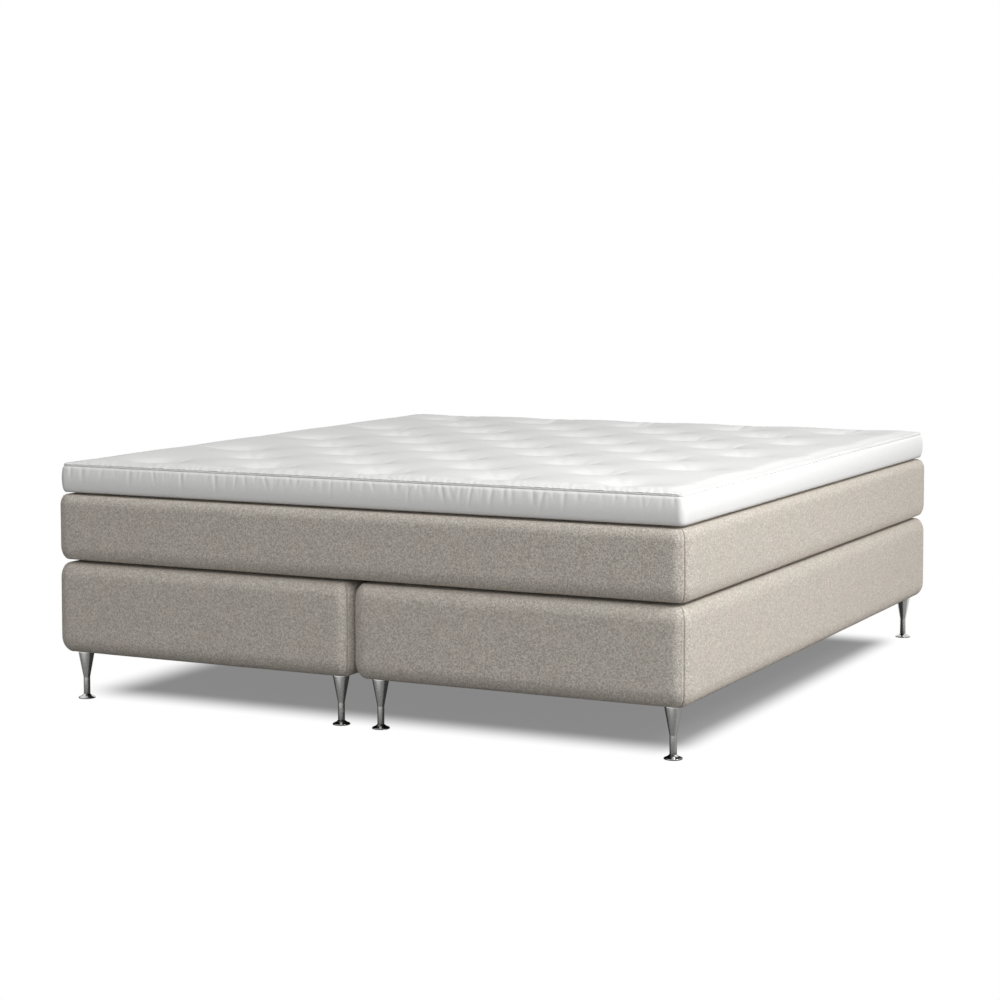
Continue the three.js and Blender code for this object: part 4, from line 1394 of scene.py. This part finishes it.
leg_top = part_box("left_base_cover")[0].z - SEAT_GAP
for node in sorted(nodes):
    low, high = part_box(node)
    middle = (low + high) / 2
    if "_leg_" in node:
        leg = turned(node + "_turned", leg_outline(leg_top, high.z), middle.x, middle.y, leg_steel)
        dress(leg, node, "bases")
    if "_glide_" in node:
        glide = turned(node + "_polished", glide_outline(), middle.x, middle.y, glide_steel)
        dress(glide, node, node)

# %% [markdown]
# ## Foam inside the covers
# Every foam piece follows the box it fills: the pads over and under the springs, and the borders round
# them. So each is a stack of rings at the inset of its cover's box, less the wall of the cover, with the
# cut edges eased. A border has a second, straight wall inside.

# %% Foam fillings
CUT_EDGE = [(0, 3 * MM), (0.9 * MM, 0.9 * MM), (3 * MM, 0)]
SIDE_SHARES = (0.25, 0.5, 0.75)
FOAM_SPACING = 35 * MM
BASE_BORDER = 34 * MM
MATTRESS_BORDER = 48 * MM


def filling(node, cover, body, foot, top, border=None):
    """A pad that fills a cover from side to side, or with border the frame of foam round the springs."""
    low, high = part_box(node)
    box = cover_box(cover, foot, top)
    stations = Stations(box, FOAM_SPACING)
    wall = COVER_WALL + SEAT_GAP
    height = high.z - low.z
    rises = CUT_EDGE + [(share * height, 0) for share in SIDE_SHARES]
    rises += [(height - rise, draw) for rise, draw in reversed(CUT_EDGE)]
    rings = [stations.ring(wall + box.inset_at(low.z + rise) + draw, low.z + rise)
             for rise, draw in rises]
    if border:
        rings += [stations.ring(wall + border - draw, low.z + rise) for rise, draw in reversed(rises)]
    piece = mesh_object(node + "_cut", *skin(rings, stations.corners, closed=bool(border)), foam)
    dress(piece, node, body)
    print(piece.name, len(piece.data.polygons), "quads")


for side in ("left", "right"):
    base = (side + "_base_cover", "bases", BASE_FOOT, BASE_TOP)
    filling(side + "_edge_foam", *base, BASE_BORDER)
    filling(side + "_foam_pad", *base)
mattress = ("mattress_cover", "mattress", MATTRESS_FOOT, MATTRESS_TOP)
filling("mattress_border_foam", *mattress, MATTRESS_BORDER)
filling("mattress_lower_foam", *mattress)
filling("mattress_upper_foam", *mattress)

# %% [markdown]
# ## What repeats
# Pocket springs, screws, staples and stitches are copies of one small piece each. Two node groups
# place them: one puts a copy on every point it is given, the other puts copies at even steps along
# lines. Both end in real copies, so each result is one plain mesh. Any chance turn has a fixed seed.

# %% Copies on points and along lines
TURN_SEED = 3
ROW_STEP = 10 * MM


def copies_tree(material):
    """A copy of a piece on every point, each turned about Z by chance, up to Turn either way."""
    tree = node_tree("copies_on_points", [("Piece", "NodeSocketObject", None),
                                          ("Turn", "NodeSocketFloat", 0.0),
                                          ("Seed", "NodeSocketInt", TURN_SEED)])
    start = add_node(tree, "NodeGroupInput")
    piece = add_node(tree, "GeometryNodeObjectInfo", links={0: start.outputs["Piece"]})
    least = add_node(tree, "ShaderNodeMath", operation="MULTIPLY", values={1: -1.0},
                     links={0: start.outputs["Turn"]})
    chance = add_node(tree, "FunctionNodeRandomValue",
                      links={2: least.outputs[0], 3: start.outputs["Turn"], 8: start.outputs["Seed"]})
    turn = add_node(tree, "ShaderNodeCombineXYZ", links={"Z": chance.outputs[1]})
    copies = add_node(tree, "GeometryNodeInstanceOnPoints",
                      links={"Points": start.outputs["Geometry"], "Instance": piece.outputs["Geometry"],
                             "Rotation": turn.outputs[0]})
    finish_tree(tree, copies.outputs[0], material)
    return tree


def row_tree(material, pivot):
    """Copies of a piece at even steps along lines, each with its X along the line."""
    tree = node_tree("copies_along_lines", [("Piece", "NodeSocketObject", None),
                                            ("Step", "NodeSocketFloat", ROW_STEP)])
    start = add_node(tree, "NodeGroupInput")
    piece = add_node(tree, "GeometryNodeObjectInfo", links={0: start.outputs["Piece"]})
    line = add_node(tree, "GeometryNodeMeshToCurve", links={0: start.outputs["Geometry"]})
    points = add_node(tree, "GeometryNodeCurveToPoints", mode="LENGTH",
                      links={"Curve": line.outputs[0], "Length": start.outputs["Step"]})
    turn = add_node(tree, "FunctionNodeAlignRotationToVector", axis="X", pivot_axis=pivot,
                    links={"Vector": points.outputs["Tangent"]})
    copies = add_node(tree, "GeometryNodeInstanceOnPoints",
                      links={"Points": points.outputs["Points"], "Instance": piece.outputs["Geometry"],
                             "Rotation": turn.outputs[0]})
    finish_tree(tree, copies.outputs[0], material)
    return tree


def point_object(places):
    """Loose points, as a mesh that carries copies."""
    mesh = bpy.data.meshes.new("places")
    mesh.from_pydata([tuple(p) for p in places], [], [])
    return bpy.data.objects.new("places", mesh)


def settle(piece, pattern, body):
    """Sends a grown piece along with its body, and puts away the pattern that it was copied from."""
    bpy.data.objects.remove(pattern)
    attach(piece, body)
    print(piece.name, len(piece.data.polygons), "faces")


print("node groups:", len(bpy.data.node_groups))

# %% [markdown]
# A pocket spring is a cloth tube with a coil pressed inside. It is a barrel with pillowed ends, a
# little wider near its ends where the cloth isn't held, and it touches its neighbours.

# %% Pocket springs
POCKET_PITCH = 82 * MM
POCKET_SIDES = 12
POCKET_DIMPLE = 1.5 * MM
POCKET_PILLOW = 0.6 * MM
POCKET_SHOULDER = 5 * MM
POCKET_WAIST = 0.975


def pocket(half_x, half_y, low, high):
    """One pocket at the origin: cloth drawn over the ends of its coil."""
    size = high - low
    end = [(0, POCKET_DIMPLE), (0.5, POCKET_PILLOW), (0.8, 0), (0.95, POCKET_SHOULDER), (1, 0.2 * size)]
    outline = [(radius, low + rise) for radius, rise in end] + [(POCKET_WAIST, low + 0.5 * size)]
    outline += [(radius, high - rise) for radius, rise in reversed(end)]
    piece = turned("pocket", outline, 0, 0, pocket_cloth, POCKET_SIDES)
    move_points(piece, points_of(piece) * (half_x, half_y, 1))
    return piece


def spring_unit(node, body):
    """Rows of pockets over the whole unit, as many as fit at the pitch."""
    low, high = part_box(node)
    size = high - low
    across, along = int(size.x / POCKET_PITCH), int(size.y / POCKET_PITCH)
    steps = size.x / across, size.y / along
    places = [(low.x + (column + 0.5) * steps[0], low.y + (row + 0.5) * steps[1], 0)
              for row in range(along) for column in range(across)]
    pattern = pocket(steps[0] / 2, steps[1] / 2, low.z, high.z)
    unit = grow(node + "_pockets", point_object(places), copies_tree(pocket_cloth), {"Piece": pattern})
    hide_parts(node)
    settle(unit, pattern, body)
    print(across, "by", along, "pockets")


spring_unit("left_spring_unit", "bases")
spring_unit("right_spring_unit", "bases")
spring_unit("mattress_spring_unit", "mattress")

# %% [markdown]
# Small fastenings come last. Staples hold the hem under the frame, and screws hold the link plates. A
# staple is one bent piece of wire with its legs in the wood. A screw is turned like a leg, with a
# pressed recess in its head.

# %% Staples and screws
WIRE_SIDES = 6
STAPLE_STEP = 60 * MM
STAPLE_ROW_SPACING = 40 * MM
STAPLE_INSET = 2.5 * MM
STAPLE_SINK = 0.4 * MM
STAPLE_WIRE = 0.5 * MM
STAPLE = np.array([(-5, 0, 4), (-5, 0, 0.3), (-4.6, 0, 0), (4.6, 0, 0), (5, 0, 0.3), (5, 0, 4)]) * MM
SCREW_GRID = (23.3 * MM, 11 * MM)
SCREW_SIDES = 16
SCREW = np.array([(0, -0.6), (1.6, -0.6), (1.6, -1.6), (3.4, -1.6), (4.3, -0.7), (4.3, 0),
                  (2.2, 0), (2.2, 16), (0, 20)]) * MM
SCREW_FILLETS = np.array([0, 0.1, 0.2, 0.5, 0.4, 0.1, 0.2, 0.6, 0]) * MM
SCREW_FILLET_STEPS = 2


def wire(points, radius, material):
    """A short piece of wire or thread through points, to be copied."""
    return grow("wire", path_object([points]), sweep_tree(material),
                {"Radius": radius, "Sides": WIRE_SIDES})


def hem_staples():
    rings = []
    for side in ("left", "right"):
        box = cover_box(side + "_base_cover", BASE_FOOT, BASE_TOP)
        row = Stations(box, STAPLE_ROW_SPACING)
        rings.append(row.ring(box.foot_depth + STAPLE_INSET, box.low - STAPLE_SINK))
    pattern = wire(STAPLE, STAPLE_WIRE, link_steel)
    staples = grow("base_hem_staples", path_object(rings, closed=True), row_tree(link_steel, "Z"),
                   {"Piece": pattern, "Step": STAPLE_STEP})
    settle(staples, pattern, "bases")


def link_screws():
    head = (0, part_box("link_plate_front")[0].z)
    outline = filleted(SCREW + head, SCREW_FILLETS, SCREW_FILLET_STEPS)
    pattern = turned("screw", outline, 0, 0, link_steel, SCREW_SIDES)
    places = []
    for node in ("link_plate_front", "link_plate_back"):
        low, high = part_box(node)
        middle = (low + high) / 2
        places += [(middle.x + x * SCREW_GRID[0], middle.y + y * SCREW_GRID[1], 0)
                   for x in (-1, 1) for y in (-1, 1)]
    screws = grow("link_plate_screws", point_object(places), copies_tree(link_steel), {"Piece": pattern})
    settle(screws, pattern, "bases")


hem_staples()
link_screws()

# %% [markdown]
# Thread closes the corner seams, and a stitch sits at the bottom of every tuft. The seam's thread lies
# deep in its groove and only glints here and there. The tuft's is a short double stitch that presses
# into the cloth at both ends, and no two of them point quite the same way.

# %% Stitches
STITCH_STEP = 6 * MM
STITCH_RISE = 0.6 * MM
STITCH_MARGIN = 8 * MM
STITCH_LEVELS = (6, 8, 6)
STITCH_THREAD = 0.45 * MM
STITCH = np.array([(-1.9, 0, 0), (-1.2, 0, 0), (1.2, 0, 0), (1.9, 0, 0)]) * MM
TUFT_THREAD = 0.9 * MM
TUFT_TURN = 0.6
TUFT_STITCH = np.array([(-4.5, 0, -2), (-3.6, 0, 0), (-2.4, 0, 0.7),
                        (2.4, 0, 0.7), (3.6, 0, 0), (4.5, 0, -2)]) * MM
PANEL_DEEPEST = 30 * MM


def corner_lines(cover, foot, top):
    """Lines down the four corner seams of a cover, sunk almost to the bottom of the groove."""
    box = cover_box(cover, foot, top)
    stations = Stations(box, COVER_SPACING)
    depth = SEAM_DEPTH - STITCH_RISE
    rings = [stations.ring(inset + depth, z) for z, inset in edge_levels(box, STITCH_LEVELS)
             if STITCH_MARGIN < z - box.low < box.high - box.low - STITCH_MARGIN]
    return [[ring[corner] for ring in rings] for corner in stations.corners]


def seam_stitches(name, covers, body):
    """Thread that shows in the corner seams, stitch by stitch."""
    lines = [line for cover, foot, top in covers for line in corner_lines(cover, foot, top)]
    pattern = wire(STITCH, STITCH_THREAD, thread)
    stitches = grow(name, path_object(lines), row_tree(thread, "AUTO"),
                    {"Piece": pattern, "Step": STITCH_STEP})
    settle(stitches, pattern, body)


def tuft_stitches():
    """A short double stitch at the bottom of every tuft, turned a little by chance."""
    points = points_of(panel)
    upper = points[points[:, 2] > seam_level - PANEL_DEEPEST]
    places = [upper[np.linalg.norm(upper[:, :2] - tuft, axis=1).argmin()] for tuft in tufts]
    pattern = wire(TUFT_STITCH, TUFT_THREAD, white_thread)
    stitches = grow("topper_tuft_stitches", point_object(places), copies_tree(white_thread),
                    {"Piece": pattern, "Turn": TUFT_TURN, "Seed": TURN_SEED})
    settle(stitches, pattern, "topper")


seam_stitches("base_seam_stitches", [(side + "_base_cover", BASE_FOOT, BASE_TOP)
                                     for side in ("left", "right")], "bases")
seam_stitches("mattress_seam_stitches", [("mattress_cover", MATTRESS_FOOT, MATTRESS_TOP)], "mattress")
tuft_stitches()

# %% [markdown]
# ## The finishes of the pieces that keep their shape
# Rails, blocks, slats and link plates are already right as solids, with the edges that a saw or a
# shear leaves. They only get their timber or steel.

# %% Finishes inside
FINISHES = {"rail": pine, "block": pine, "slat_deck": birch, "link_plate": link_steel}

for name, piece in nodes.items():
    for word, finish in FINISHES.items():
        if word in name:
            piece.data.materials.clear()
            piece.data.materials.append(finish)
print("dressed", sum(len(o.data.materials) for o in nodes.values()), "slots")
